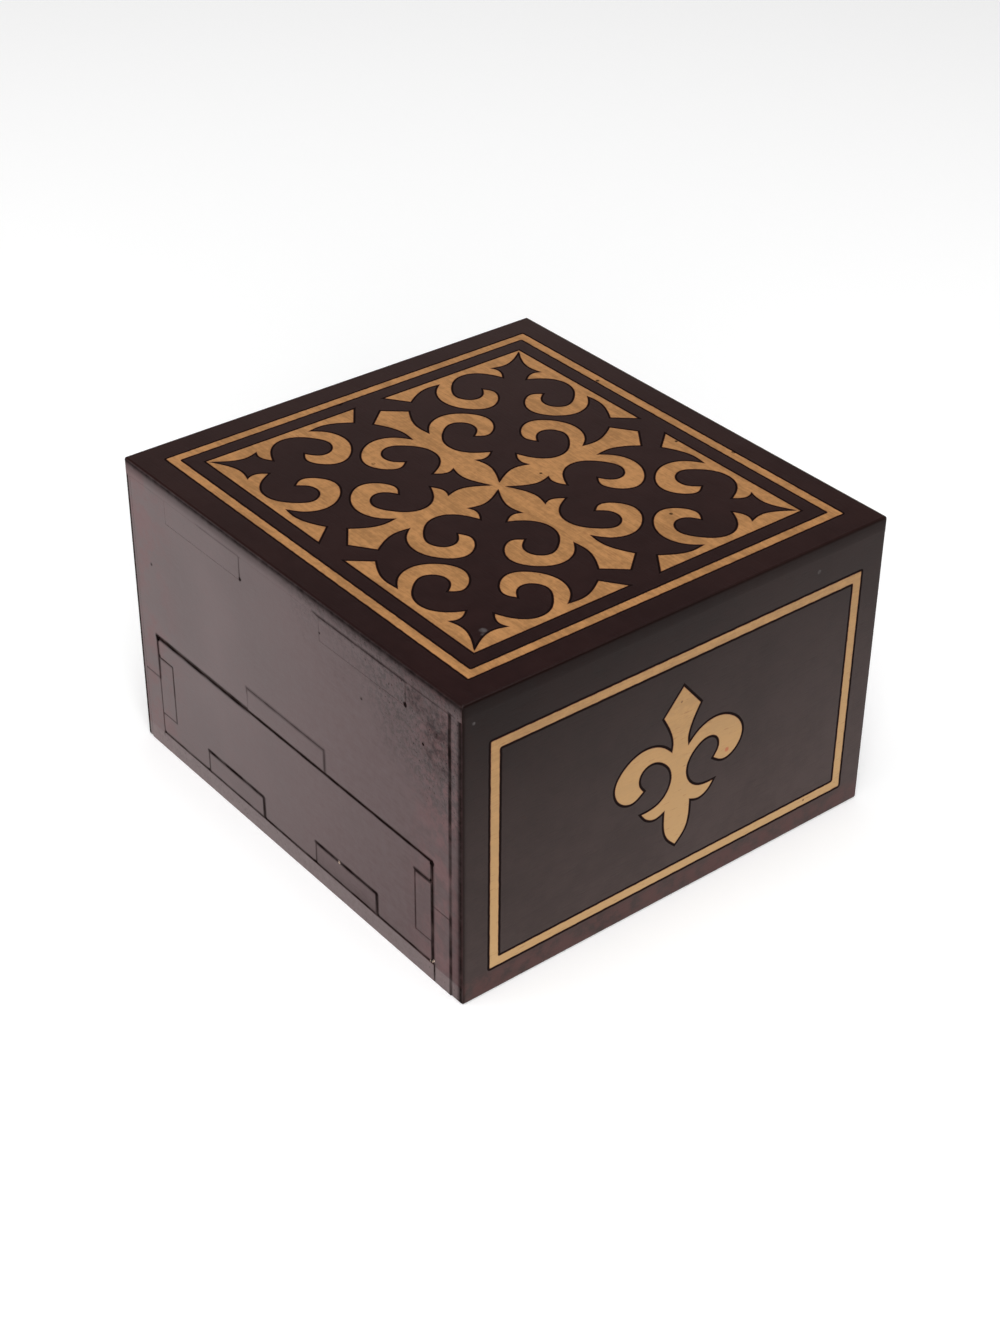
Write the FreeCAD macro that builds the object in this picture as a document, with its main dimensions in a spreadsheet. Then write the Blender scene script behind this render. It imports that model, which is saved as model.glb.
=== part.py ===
"""Magic drawer box: a dark lacquered plywood casing with light wood inlays and a drawer.

Frame: millimetres, +Z up, origin at the middle of the underside.  The drawer opens towards
-Y, the decorated side faces +X.  The plywood carcass is clad with a thick sheet on its top
and right side and a thin one on its left, so it stands a little off centre.  The drawer is
an open-backed shell around a loose inner tray.  A lever hidden in the floor lifts a pin
into the tray, which then stays behind when the shell is pulled out and shown empty.
"""

import FreeCAD, Part
import os

os.makedirs("parts", exist_ok=True)
doc = FreeCAD.newDocument("magic_drawer_box")

# ---------------------------------------------------------------- driving dimensions
SIZES = (
    ("box_wide", "100"),            # over both side claddings
    ("box_deep", "94.2"),           # front face to back face
    ("box_tall", "61.6"),           # underside to top
    ("skin", "3.2"),                # top and right cladding sheet
    ("thin_skin", "1.6"),           # left cladding sheet
    ("edge_round", "0.5"),          # sanded outer edges of the claddings
    ("sheet", "4.8"),               # carcass and drawer plywood
    ("floor_sheet", "3.6"),         # floor plywood
    ("carcass_tab", "24"),          # width of one tab of divider or ceiling
    ("ceiling_tab_offset", "24"),   # middle of a ceiling tab from the carcass middle
    ("wall_finger", "16.5"),        # height of the wall fingers at the foot of each corner
    ("drawer_tall", "22.05"),
    ("drawer_side_gap", "0.15"),
    ("drawer_base_gap", "0.1"),
    ("drawer_head_gap", "0.4"),
    ("drawer_back_gap", "0.4"),
    ("drawer_side_tab", "12.9"),    # height of the side tabs seen in the drawer front
    ("drawer_base_tab", "18.3"),    # width of the bottom tabs seen in the drawer front
    ("drawer_tab_offset", "17.45"),  # middle of a bottom tab from the drawer middle
    ("tray_sheet", "2"),
    ("tray_side_gap", "0.4"),
    ("tray_base_gap", "0.2"),
    ("tray_front_gap", "0.3"),
    ("tray_drop", "0.6"),           # tray rim below the rim of the drawer sides
    ("catch_hole", "2"),            # radius of the hole in the tray for the pin
    ("pin_radius", "1.2"),
    ("pin_gap", "0.3"),             # pin top below the tray at rest
    ("pin_inset", "3.9"),           # pin axis in front of the rear edge of the drawer
    ("notch_wide", "10"),           # notch in the drawer bottom around pin and lever tail
    ("notch_long", "9"),
    ("lever_thick", "0.8"),
    ("lever_wide", "16"),
    ("lever_reach", "50"),          # axle to pin
    ("lever_gap", "0.3"),           # around the lever in its pocket
    ("tail_wide", "8"),
    ("tail_long", "6"),             # tail in front of the pin axis
    ("tail_end", "2.5"),            # tail behind the pin axis
    ("ledge", "0.8"),               # floor left under the lever
    ("press_wide", "12"),           # finger slot in the underside
    ("press_long", "26"),
    ("press_offset", "20"),         # middle of the finger slot in front of the pin
    ("eye_head_gap", "0.4"),        # lever eye below the upper face of the floor
    ("eye_wall", "0.35"),
    ("axle_gap", "0.05"),           # running clearance of the eye on its axle
    ("axle_grip", "3"),             # axle held in the floor beyond each side of the pocket
    ("inlay_thick", "0.9"),
    ("inlay_gap", "0.04"),          # laser kerf between an inlay and its pocket
    ("ring_wide", "2.05"),          # width of the inlaid ring lines
    ("top_margin", "5.4"),          # top ring from the edges of the top
    ("top_band", "3.2"),            # dark band between top ring and pattern
    ("side_margin", "5.45"),        # side ring from the front and back edges
    ("side_foot", "5"),             # side ring from the underside
    ("side_head", "5.9"),           # side ring from the top cladding
    ("side_shift", "0.2"),          # side ornament towards the back
    ("fleur_foot", "4.5"),          # petal tip above the side ring
    ("fleur_head", "4.9"),          # stem tip below the side ring
    ("centre_bridge", "1.05"),      # half width of the joined petal tips in the middle
    ("corner_bridge", "0.7"),       # width of the joined petal tips in a corner
)

sheet = doc.addObject("Spreadsheet::Sheet", "sizes")
for row, (alias, number) in enumerate(SIZES, start=1):
    sheet.set(f"A{row}", alias)
    sheet.set(f"B{row}", number)
    sheet.setAlias(f"B{row}", alias)
doc.recompute()


def size(alias):
    """One driving dimension as a number."""
    return float(getattr(sheet, alias))


def bound(text):
    """An expression in which every alias is read from the sheet."""
    words = text.replace("(", " ( ").replace(")", " ) ").split()
    aliases = {alias for alias, _ in SIZES}
    return " ".join(f"sizes.{word}" if word in aliases else word for word in words)


# ---------------------------------------------------------------- derived places
# Carcass, in words of the sheet.  Every place below is an expression of the sizes.
CARCASS_MID = "( ( thin_skin - skin ) / 2 )"
CARCASS_HALF = "( ( box_wide - skin - thin_skin ) / 2 )"
CARCASS_TALL = "( box_tall - skin )"
HALF_DEEP = "( box_deep / 2 )"
WALL_IN = f"( {CARCASS_HALF} - sheet )"             # carcass middle to inner wall face
PANEL_IN = f"( {HALF_DEEP} - sheet )"               # middle to inner front or back face
DRAWER_LOW = "( floor_sheet + drawer_base_gap )"
DRAWER_TOP = f"( {DRAWER_LOW} + drawer_tall )"
DIVIDER_LOW = f"( {DRAWER_TOP} + drawer_head_gap )"
CEILING_LOW = f"( {CARCASS_TALL} - sheet )"
DRAWER_HALF = f"( {WALL_IN} - drawer_side_gap )"
DRAWER_REAR = f"( {PANEL_IN} - drawer_back_gap )"
DRAWER_FLOOR_TOP = f"( {DRAWER_LOW} + sheet )"
TRAY_LOW = f"( {DRAWER_FLOOR_TOP} + tray_base_gap )"
TRAY_TOP = f"( {DRAWER_TOP} - tray_drop )"
TRAY_HALF = f"( {DRAWER_HALF} - sheet - tray_side_gap )"
TRAY_FRONT = f"( 0 - {PANEL_IN} + tray_front_gap )"
PIN_Y = f"( {DRAWER_REAR} - pin_inset )"
AXLE_Y = f"( {PIN_Y} - lever_reach )"
EYE_RADIUS = "( ( floor_sheet - ledge - eye_head_gap ) / 2 )"
AXLE_RADIUS = f"( {EYE_RADIUS} - eye_wall - axle_gap )"
AXLE_Z = f"( ledge + {EYE_RADIUS} )"
POCKET_HALF = "( lever_wide / 2 + lever_gap )"


# ---------------------------------------------------------------- building helpers
def bind(item, **expressions):
    """Bind properties of one object; an underscore pair stands for a dot."""
    for name, text in expressions.items():
        item.setExpression(name.replace("__", "."), bound(text))
    return item


def block(name, x, y, z, along_x, along_y, along_z):
    """A Part::Box with its low corner at x, y, z."""
    item = doc.addObject("Part::Box", name)
    return bind(item, Length=along_x, Width=along_y, Height=along_z,
                Placement__Base__x=x, Placement__Base__y=y, Placement__Base__z=z)


def mid_block(name, half_x, y, z, along_y, along_z, offset="0"):
    """A Part::Box that lies evenly about the carcass middle, or about an offset from it."""
    return block(name, f"{CARCASS_MID} + {offset} - {half_x}", y, z, f"2 * {half_x}", along_y, along_z)


def upright(name, radius, x, y, z, tall):
    """A Part::Cylinder along +Z."""
    item = doc.addObject("Part::Cylinder", name)
    return bind(item, Radius=radius, Height=tall,
                Placement__Base__x=x, Placement__Base__y=y, Placement__Base__z=z)


def crosswise(name, radius, x, y, z, long):
    """A Part::Cylinder along +X."""
    item = doc.addObject("Part::Cylinder", name)
    item.Placement = FreeCAD.Placement(FreeCAD.Vector(), FreeCAD.Rotation(FreeCAD.Vector(0, 1, 0), 90))
    return bind(item, Radius=radius, Height=long,
                Placement__Base__x=x, Placement__Base__y=y, Placement__Base__z=z)


def joined(name, pieces):
    """The pieces fused into one solid, without the seams between them."""
    item = doc.addObject("Part::MultiFuse", name)
    item.Shapes = pieces
    item.Refine = True
    return item


def cut(name, base, tools):
    """The base without the tools, one cut after another."""
    for number, tool in enumerate(tools, start=1):
        item = doc.addObject("Part::Cut", name if number == len(tools) else f"{name}_step{number}")
        item.Base = base
        item.Tool = tool
        base = item
    return base


def rounded(name, base, is_outer):
    """The base with its outer edges rounded, where is_outer picks an edge by its middle."""
    doc.recompute()
    radius = size("edge_round")
    item = doc.addObject("Part::Fillet", name)
    item.Base = base
    item.Edges = [(number, radius, radius) for number, edge in enumerate(base.Shape.Edges, start=1)
                  if is_outer(edge.BoundBox.Center)]
    return item


nodes = {}


def keep(node, item):
    """Name the finished piece after its node."""
    item.Label = node
    nodes[node] = item
    return item


# ---------------------------------------------------------------- carcass
def carcass_tab_blocks(prefix, low, y, offsets):
    """The tabs of a divider or ceiling that pass through the front or back panel."""
    return [mid_block(f"{prefix}_{number}", "( carcass_tab / 2 )", y, low, "sheet", "sheet", offset)
            for number, offset in enumerate(offsets, start=1)]


def shelf(node, low, offsets):
    """A panel between the walls with tabs through the front, the back and both walls."""
    front, back = f"0 - {HALF_DEEP}", PANEL_IN
    plate = mid_block(f"{node}_plate", WALL_IN, f"0 - {PANEL_IN}", low, f"2 * {PANEL_IN}", "sheet")
    through = mid_block(f"{node}_side_tabs", CARCASS_HALF, "0 - carcass_tab / 2", low, "carcass_tab", "sheet")
    tabs = carcass_tab_blocks(f"{node}_front_tab", low, front, offsets)
    tabs += carcass_tab_blocks(f"{node}_back_tab", low, back, offsets)
    return keep(node, joined(node, [plate, through] + tabs))


DIVIDER_TABS = ("0",)
CEILING_TABS = ("0 - ceiling_tab_offset", "ceiling_tab_offset")


def panel_slots(prefix, y):
    """What divider and ceiling tabs take out of the front or back panel."""
    return (carcass_tab_blocks(f"{prefix}_divider_slot", DIVIDER_LOW, y, DIVIDER_TABS)
            + carcass_tab_blocks(f"{prefix}_ceiling_slot", CEILING_LOW, y, CEILING_TABS))


def finger_slots(prefix, y):
    """What the wall fingers take out of the foot of the front or back panel."""
    left = block(f"{prefix}_left_finger", f"{CARCASS_MID} - {CARCASS_HALF}", y, "0",
                 "sheet", "sheet", "wall_finger")
    right = block(f"{prefix}_right_finger", f"{CARCASS_MID} + {WALL_IN}", y, "0",
                  "sheet", "sheet", "wall_finger")
    return [left, right]


def front_panel():
    """Closed above, with two short legs beside the drawer opening."""
    y = f"0 - {HALF_DEEP}"
    plate = mid_block("front_plate", CARCASS_HALF, y, "0", "sheet", CARCASS_TALL)
    opening = mid_block("front_opening", WALL_IN, y, "0", "sheet", DIVIDER_LOW)
    keep("front_panel", cut("front_panel", plate, [opening] + panel_slots("front", y)
                            + finger_slots("front", y)))


def back_panel():
    """Closed, and cut out at its foot for the floor and the wall fingers."""
    plate = mid_block("back_plate", CARCASS_HALF, PANEL_IN, "0", "sheet", CARCASS_TALL)
    foot = mid_block("back_foot", WALL_IN, PANEL_IN, "0", "sheet", "floor_sheet")
    keep("back_panel", cut("back_panel", plate, [foot] + panel_slots("back", PANEL_IN)
                           + finger_slots("back", PANEL_IN)))


def wall(node, x):
    """A side wall with a finger at the foot of each corner and slots for both shelves."""
    plate = block(f"{node}_plate", x, f"0 - {PANEL_IN}", "0", "sheet", f"2 * {PANEL_IN}", CARCASS_TALL)
    fingers = block(f"{node}_fingers", x, f"0 - {HALF_DEEP}", "0", "sheet", "box_deep", "wall_finger")
    slots = [block(f"{node}_slot_{name}", x, "0 - carcass_tab / 2", low, "sheet", "carcass_tab", "sheet")
             for name, low in (("divider", DIVIDER_LOW), ("ceiling", CEILING_LOW))]
    keep(node, cut(node, joined(f"{node}_outline", [plate, fingers]), slots))


def floor_panel():
    """The floor with the lever pocket from above and the finger slot from below."""
    plate = mid_block("floor_plate", WALL_IN, f"0 - {HALF_DEEP}", "0", "box_deep", "floor_sheet")
    pocket_front = f"( {AXLE_Y} - {EYE_RADIUS} - lever_gap )"
    pocket = mid_block("lever_pocket", POCKET_HALF, pocket_front, "ledge",
                       f"{PIN_Y} + tail_end + lever_gap - {pocket_front}", "floor_sheet")
    slot_front = f"{PIN_Y} - press_offset - press_long / 2"
    straight = mid_block("press_slot", "( press_wide / 2 )", f"{slot_front} + press_wide / 2", "0",
                         "press_long - press_wide", "ledge")
    ends = [upright(f"press_end_{number}", "press_wide / 2", CARCASS_MID, f"{slot_front} + {inset}",
                    "0", "ledge")
            for number, inset in enumerate(("press_wide / 2", "press_long - press_wide / 2"), start=1)]
    groove_half = f"( {POCKET_HALF} + axle_grip )"
    groove_round = crosswise("axle_groove_round", AXLE_RADIUS, f"{CARCASS_MID} - {groove_half}",
                             AXLE_Y, AXLE_Z, f"2 * {groove_half}")
    groove_mouth = mid_block("axle_groove_mouth", groove_half, f"{AXLE_Y} - {AXLE_RADIUS}", AXLE_Z,
                             f"2 * {AXLE_RADIUS}", "floor_sheet")
    keep("floor_panel", cut("floor_panel", plate, [pocket, straight] + ends
                            + [groove_round, groove_mouth]))


front_panel()
back_panel()
wall("left_wall", f"{CARCASS_MID} - {CARCASS_HALF}")
wall("right_wall", f"{CARCASS_MID} + {WALL_IN}")
floor_panel()
shelf("divider", DIVIDER_LOW, DIVIDER_TABS)
shelf("ceiling_panel", CEILING_LOW, CEILING_TABS)


# ---------------------------------------------------------------- hidden catch
def catch():
    """A steel lever on an axle in the floor, with a pin riveted to its tail."""
    keep("lever_axle", crosswise("lever_axle", AXLE_RADIUS,
                                 f"{CARCASS_MID} - {POCKET_HALF} - axle_grip", AXLE_Y, AXLE_Z,
                                 f"2 * ( {POCKET_HALF} + axle_grip )"))
    strip = mid_block("lever_strip", "( lever_wide / 2 )", AXLE_Y, "ledge",
                      "lever_reach - tail_long", "lever_thick")
    tail = mid_block("lever_tail", "( tail_wide / 2 )", AXLE_Y, "ledge",
                     "lever_reach + tail_end", "lever_thick")
    eye = crosswise("lever_eye", EYE_RADIUS, f"{CARCASS_MID} - lever_wide / 2", AXLE_Y, AXLE_Z,
                    "lever_wide")
    bore = crosswise("lever_bore", f"{AXLE_RADIUS} + axle_gap", f"{CARCASS_MID} - lever_wide / 2",
                     AXLE_Y, AXLE_Z, "lever_wide")
    rivet = upright("rivet_hole", "pin_radius", CARCASS_MID, PIN_Y, "ledge", "lever_thick")
    keep("catch_lever", cut("catch_lever", joined("lever_outline", [strip, tail, eye]), [bore, rivet]))
    keep("catch_pin", upright("catch_pin", "pin_radius", CARCASS_MID, PIN_Y, "ledge",
                              f"{TRAY_LOW} - pin_gap - ledge"))


catch()


# ---------------------------------------------------------------- drawer shell
def drawer_side_tabs(prefix):
    """The tabs of both drawer sides in the drawer front."""
    return [block(f"{prefix}_{name}", x, f"0 - {HALF_DEEP}", DRAWER_FLOOR_TOP,
                  "sheet", "sheet", "drawer_side_tab")
            for name, x in (("left", f"{CARCASS_MID} - {DRAWER_HALF}"),
                            ("right", f"{CARCASS_MID} + {DRAWER_HALF} - sheet"))]


def drawer_base_tabs(prefix):
    """The tabs of the drawer bottom in the drawer front."""
    return [mid_block(f"{prefix}_{name}", "( drawer_base_tab / 2 )", f"0 - {HALF_DEEP}", DRAWER_LOW,
                      "sheet", "sheet", offset)
            for name, offset in (("left", "0 - drawer_tab_offset"), ("right", "drawer_tab_offset"))]


def drawer():
    """The drawer front, two sides and bottom; there is no back, so the tray can slide out."""
    front = mid_block("drawer_front_plate", DRAWER_HALF, f"0 - {HALF_DEEP}", DRAWER_LOW,
                      "sheet", "drawer_tall")
    keep("drawer_front", cut("drawer_front", front, drawer_side_tabs("front_side_notch")
                             + drawer_base_tabs("front_base_notch")))
    places = (("left", f"{CARCASS_MID} - {DRAWER_HALF}"), ("right", f"{CARCASS_MID} + {DRAWER_HALF} - sheet"))
    for (name, x), tab in zip(places, drawer_side_tabs("side_tab")):
        plate = block(f"drawer_{name}_plate", x, f"0 - {PANEL_IN}", DRAWER_LOW,
                      "sheet", f"{DRAWER_REAR} + {PANEL_IN}", "drawer_tall")
        keep(f"drawer_{name}_side", joined(f"drawer_{name}_side", [plate, tab]))
    plate = mid_block("drawer_bottom_plate", f"( {DRAWER_HALF} - sheet )", f"0 - {PANEL_IN}",
                      DRAWER_LOW, f"{DRAWER_REAR} + {PANEL_IN}", "sheet")
    notch = mid_block("drawer_notch", "( notch_wide / 2 )", f"{DRAWER_REAR} - notch_long",
                      DRAWER_LOW, "notch_long", "sheet")
    keep("drawer_bottom", cut("drawer_bottom",
                              joined("drawer_bottom_outline", [plate] + drawer_base_tabs("base_tab")),
                              [notch]))


drawer()


# ---------------------------------------------------------------- inner tray
def tray():
    """A loose thin-walled tray that fills the drawer shell."""
    wall_low = f"( {TRAY_LOW} + tray_sheet )"
    wall_tall = f"( {TRAY_TOP} - {wall_low} )"
    long = f"( {DRAWER_REAR} - {TRAY_FRONT} )"
    bottom = mid_block("tray_bottom_plate", TRAY_HALF, TRAY_FRONT, TRAY_LOW, long, "tray_sheet")
    hole = upright("tray_catch_hole", "catch_hole", CARCASS_MID, PIN_Y, TRAY_LOW, "tray_sheet")
    keep("tray_bottom", cut("tray_bottom", bottom, [hole]))
    for name, y in (("front", TRAY_FRONT), ("back", f"{DRAWER_REAR} - tray_sheet")):
        keep(f"tray_{name}", mid_block(f"tray_{name}", TRAY_HALF, y, wall_low, "tray_sheet", wall_tall))
    for name, x in (("left", f"{CARCASS_MID} - {TRAY_HALF}"),
                    ("right", f"{CARCASS_MID} + {TRAY_HALF} - tray_sheet")):
        keep(f"tray_{name}_side", block(f"tray_{name}_side", x, f"{TRAY_FRONT} + tray_sheet", wall_low,
                                        "tray_sheet", f"{long} - 2 * tray_sheet", wall_tall))


tray()


# ---------------------------------------------------------------- ornament outlines
# Half of a fleur-de-lis as (across, along) from its petal tip, in shares of the side of its
# square field.  Each stretch is a curve from one sharp corner to the next; the first is the
# straight edge of the stem.
TOP_FLEUR = (
    ((0, 0.907), (0.113, 0.818)),
    ((0.113, 0.818), (0.074, 0.752), (0.047, 0.665), (0.053, 0.588)),
    ((0.053, 0.588), (0.105, 0.649), (0.210, 0.686), (0.315, 0.648), (0.388, 0.530),
     (0.345, 0.438), (0.270, 0.405), (0.217, 0.435)),
    ((0.217, 0.435), (0.274, 0.489), (0.277, 0.541), (0.210, 0.596), (0.118, 0.556),
     (0.053, 0.468), (0.052, 0.390), (0.105, 0.315), (0.183, 0.270)),
    ((0.183, 0.270), (0.142, 0.243), (0.100, 0.238), (0.072, 0.250)),
)
TOP_PETAL = ((0.072, 0.250), (0.087, 0.178), (0.062, 0.090))
# The bolder single flower of the sides, in shares of its own height.
SIDE_FLEUR = (
    ((0, 1), (0.126, 0.850)),
    ((0.126, 0.850), (0.0735, 0.747), (0.053, 0.657), (0.057, 0.619)),
    ((0.057, 0.619), (0.118, 0.675), (0.235, 0.711), (0.353, 0.672), (0.435, 0.551),
     (0.394, 0.445), (0.309, 0.411), (0.235, 0.453)),
    ((0.235, 0.453), (0.269, 0.513), (0.253, 0.576), (0.197, 0.603), (0.115, 0.572),
     (0.056, 0.483), (0.068, 0.392), (0.129, 0.328), (0.250, 0.309)),
    ((0.250, 0.309), (0.212, 0.260), (0.150, 0.234), (0.088, 0.253)),
    ((0.088, 0.253), (0.088, 0.175), (0.065, 0.075), (0, 0)),
)


ARC_FIT = 0.05      # how far the arcs may lie from the smooth curve through the points


def curve(points):
    """A straight edge through two points, or smoothly joined arcs through more."""
    if len(points) == 2:
        return [Part.LineSegment(*points).toShape()]
    smooth = Part.BSplineCurve()
    smooth.interpolate(points)
    return [arc.toShape() for arc in smooth.toBiArcs(ARC_FIT)]


def face_of(stretches, place):
    """The flat face inside the stretches, with place turning a point into a vector."""
    edges = [edge for stretch in stretches for edge in curve([place(point) for point in stretch])]
    return Part.Face(Part.Wire(Part.__sortEdges__(edges)))


def backwards(stretches):
    """The same stretches, run from their end to their start."""
    return [tuple(reversed(stretch)) for stretch in reversed(stretches)]


def changed(stretches, change):
    """The stretches with every point changed by one function."""
    return [tuple(change(point) for point in stretch) for stretch in stretches]


FIELD_X = size("box_wide") / 2 - size("top_margin") - size("ring_wide") - size("top_band")
FIELD_Y = size("box_deep") / 2 - size("top_margin") - size("ring_wide") - size("top_band")


def top_place(height):
    """The map from the square field of the top pattern to its rectangle at one height."""
    return lambda point: FreeCAD.Vector(point[0] * FIELD_X, point[1] * FIELD_Y, height)


def top_arm(bridge):
    """One half flower whose petal ends on the diagonal, where the next flower joins it."""
    share = bridge / FIELD_X
    return list(TOP_FLEUR) + [TOP_PETAL + ((share, share),)]


def cross_face(height):
    """Four flowers that share their petal tips in the middle."""
    arm = top_arm(size("centre_bridge"))
    mirrored = backwards(changed(arm, lambda point: (-point[0], point[1])))
    stretches = []
    for turn in ((1, 0), (0, 1), (-1, 0), (0, -1)):
        for stretch in mirrored + arm:
            stretches.append(tuple((point[0] * turn[0] + point[1] * turn[1],
                                    point[1] * turn[0] - point[0] * turn[1]) for point in stretch))
    return face_of(stretches, top_place(height))


def corner_face(side_x, side_y, height):
    """Two half flowers along the edges of one corner of the field, joined at its tip."""
    arm = top_arm(size("corner_bridge"))
    along_x = changed(arm, lambda point: (1 - point[1], 1 - point[0]))
    along_y = changed(arm, lambda point: (1 - point[0], 1 - point[1]))
    tip = TOP_FLEUR[0][0][1]
    border = [((1, 1 - tip), (1, 1)), ((1, 1), (1 - tip, 1))]
    stretches = changed(along_x + backwards(along_y) + border,
                        lambda point: (side_x * point[0], side_y * point[1]))
    return face_of(stretches, top_place(height))


def frame_face(half_x, half_y, wide, height):
    """A rectangular ring from its outer half sizes and its width."""
    outer = Part.makePlane(2 * half_x, 2 * half_y, FreeCAD.Vector(-half_x, -half_y, height))
    half_x, half_y = half_x - wide, half_y - wide
    inner = Part.makePlane(2 * half_x, 2 * half_y, FreeCAD.Vector(-half_x, -half_y, height))
    return outer.cut(inner).Faces[0]


# ---------------------------------------------------------------- inlays and claddings
def prism(name, face, long):
    """A flat face made into a solid; this outline has no primitive or sketch of its own."""
    item = doc.addObject("Part::Feature", name)
    item.Shape = face.extrude(long)
    return item


def inlay(node, face, outward):
    """An inlay flush with the face; returns its pocket, which reaches as far out as in."""
    depth = outward * size("inlay_thick")
    keep(node, prism(node, face.makeOffset2D(-size("inlay_gap")), depth * -1))
    raised = face.copy()
    raised.translate(depth)
    return prism(f"{node}_pocket", raised, depth * -2)


UP = FreeCAD.Vector(0, 0, 1)


def top_cladding():
    """The top sheet, rounded along its outer edges, with its ring and fleur-de-lis inlays."""
    top = size("box_tall")
    half_x, half_y = size("box_wide") / 2, size("box_deep") / 2
    plain = block("top_plate", "0 - box_wide / 2", f"0 - {HALF_DEEP}", CARCASS_TALL,
                  "box_wide", "box_deep", "skin")

    def is_outer(middle):
        """Every edge but the four around the underside."""
        return middle.z > top - size("skin") + size("edge_round") / 2

    margin = size("top_margin")
    ring = frame_face(half_x - margin, half_y - margin, size("ring_wide"), top)
    pockets = [inlay("top_ring_inlay", ring, UP), inlay("top_fleur_cross", cross_face(top), UP)]
    corners = (("front_left", -1, -1), ("front_right", 1, -1), ("back_left", -1, 1), ("back_right", 1, 1))
    for name, side_x, side_y in corners:
        pockets.append(inlay(f"top_{name}_fleurs", corner_face(side_x, side_y, top), UP))
    keep("top_cladding", cut("top_cladding", rounded("top_rounded", plain, is_outer), pockets))


def side_cladding(side, direction, thick):
    """One side sheet with its ring and its single fleur-de-lis; direction is +1 or -1 in X."""
    outside = direction * size("box_wide") / 2
    x = "0 - box_wide / 2" if direction < 0 else f"box_wide / 2 - {thick}"
    plain = block(f"{side}_plate", x, f"0 - {HALF_DEEP}", "0", thick, "box_deep", CARCASS_TALL)

    def is_outer(middle):
        """The two upright outer edges."""
        at_end = abs(middle.y) > size("box_deep") / 2 - size("edge_round") / 2
        upright_edge = abs(middle.z - (size("box_tall") - size("skin")) / 2) < size("edge_round")
        return at_end and upright_edge and abs(middle.x - outside) < size("edge_round")

    ring_low = size("side_foot")
    ring_high = size("box_tall") - size("skin") - size("side_head")
    half_y = size("box_deep") / 2 - size("side_margin")
    half_z = (ring_high - ring_low) / 2
    # A face drawn flat in X and Y is stood up on the side: its X runs along Y, its Y up.
    middle = FreeCAD.Vector(outside, size("side_shift"), (ring_low + ring_high) / 2)
    turn = FreeCAD.Rotation(FreeCAD.Vector(0, 1, 0), FreeCAD.Vector(0, 0, 1), FreeCAD.Vector(1, 0, 0))
    stand = FreeCAD.Placement(middle, turn)
    ring = frame_face(half_y, half_z, size("ring_wide"), 0)
    ring.Placement = stand
    petal_tip = size("fleur_foot") + size("ring_wide") - half_z
    tall = 2 * (half_z - size("ring_wide")) - size("fleur_foot") - size("fleur_head")
    half = list(SIDE_FLEUR)
    mirrored = backwards(changed(half, lambda point: (-point[0], point[1])))
    flower = face_of(half + mirrored,
                     lambda point: FreeCAD.Vector(point[0] * tall, point[1] * tall + petal_tip, 0))
    flower.Placement = stand
    outward = FreeCAD.Vector(direction, 0, 0)
    pockets = [inlay(f"{side}_ring_inlay", ring, outward), inlay(f"{side}_fleur_inlay", flower, outward)]
    keep(f"{side}_cladding", cut(f"{side}_cladding", rounded(f"{side}_rounded", plain, is_outer), pockets))


top_cladding()
side_cladding("right", 1, "skin")
side_cladding("left", -1, "thin_skin")

# ---------------------------------------------------------------- check and export
doc.recompute()
for item in doc.Objects:
    if "Invalid" in item.State or "Error" in item.State:
        raise RuntimeError(f"{item.Name} failed to build: {item.State}")
for node, item in nodes.items():
    shape = item.Shape
    if shape.isNull() or not shape.isValid():
        raise RuntimeError(f"{node} has no valid shape")
    if len(shape.Solids) != 1:
        raise RuntimeError(f"{node} has {len(shape.Solids)} solids")
for node, item in nodes.items():
    item.Shape.exportStep(f"parts/{node}.step")
    box = item.Shape.BoundBox
    print(f"{node:24s} {item.Shape.Volume:10.1f} mm3  x {box.XMin:7.2f} {box.XMax:7.2f}"
          f"  y {box.YMin:7.2f} {box.YMax:7.2f}  z {box.ZMin:6.2f} {box.ZMax:6.2f}")
print(f"{len(nodes)} pieces")
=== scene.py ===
"""Magic drawer box: a dark lacquered casing with light wood inlays, its drawer and inner tray.

Every piece is computed in millimetres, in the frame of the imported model, and written into its
mesh in metres.  Flat pieces are drawn as outlines (u, v) on one face of the box and carried
inwards along w, the distance in front of that face.
"""
import logging
import math
from dataclasses import dataclass, field
from enum import Enum
from functools import cache
from typing import Callable, Sequence, Union

import bmesh
import bpy
import numpy as np
from mathutils import Matrix, Vector
from mathutils.geometry import delaunay_2d_cdt


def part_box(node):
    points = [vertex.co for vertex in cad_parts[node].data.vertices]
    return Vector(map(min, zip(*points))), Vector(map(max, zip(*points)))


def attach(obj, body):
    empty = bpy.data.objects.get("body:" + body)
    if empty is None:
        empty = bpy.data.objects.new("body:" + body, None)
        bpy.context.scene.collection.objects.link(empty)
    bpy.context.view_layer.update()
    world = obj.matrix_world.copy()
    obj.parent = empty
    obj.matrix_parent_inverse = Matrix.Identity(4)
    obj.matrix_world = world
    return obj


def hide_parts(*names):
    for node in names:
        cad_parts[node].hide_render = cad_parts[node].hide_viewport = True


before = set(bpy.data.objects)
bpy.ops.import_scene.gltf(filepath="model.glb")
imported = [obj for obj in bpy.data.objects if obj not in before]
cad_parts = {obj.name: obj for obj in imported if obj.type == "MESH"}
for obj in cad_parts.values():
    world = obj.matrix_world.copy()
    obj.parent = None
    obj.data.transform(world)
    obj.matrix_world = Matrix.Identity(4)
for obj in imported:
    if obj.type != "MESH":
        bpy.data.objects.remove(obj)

log = logging.getLogger("magic_drawer_box")
MM = 0.001
Colour = tuple[float, float, float]
Mark = tuple[float, float, float, float]

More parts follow.
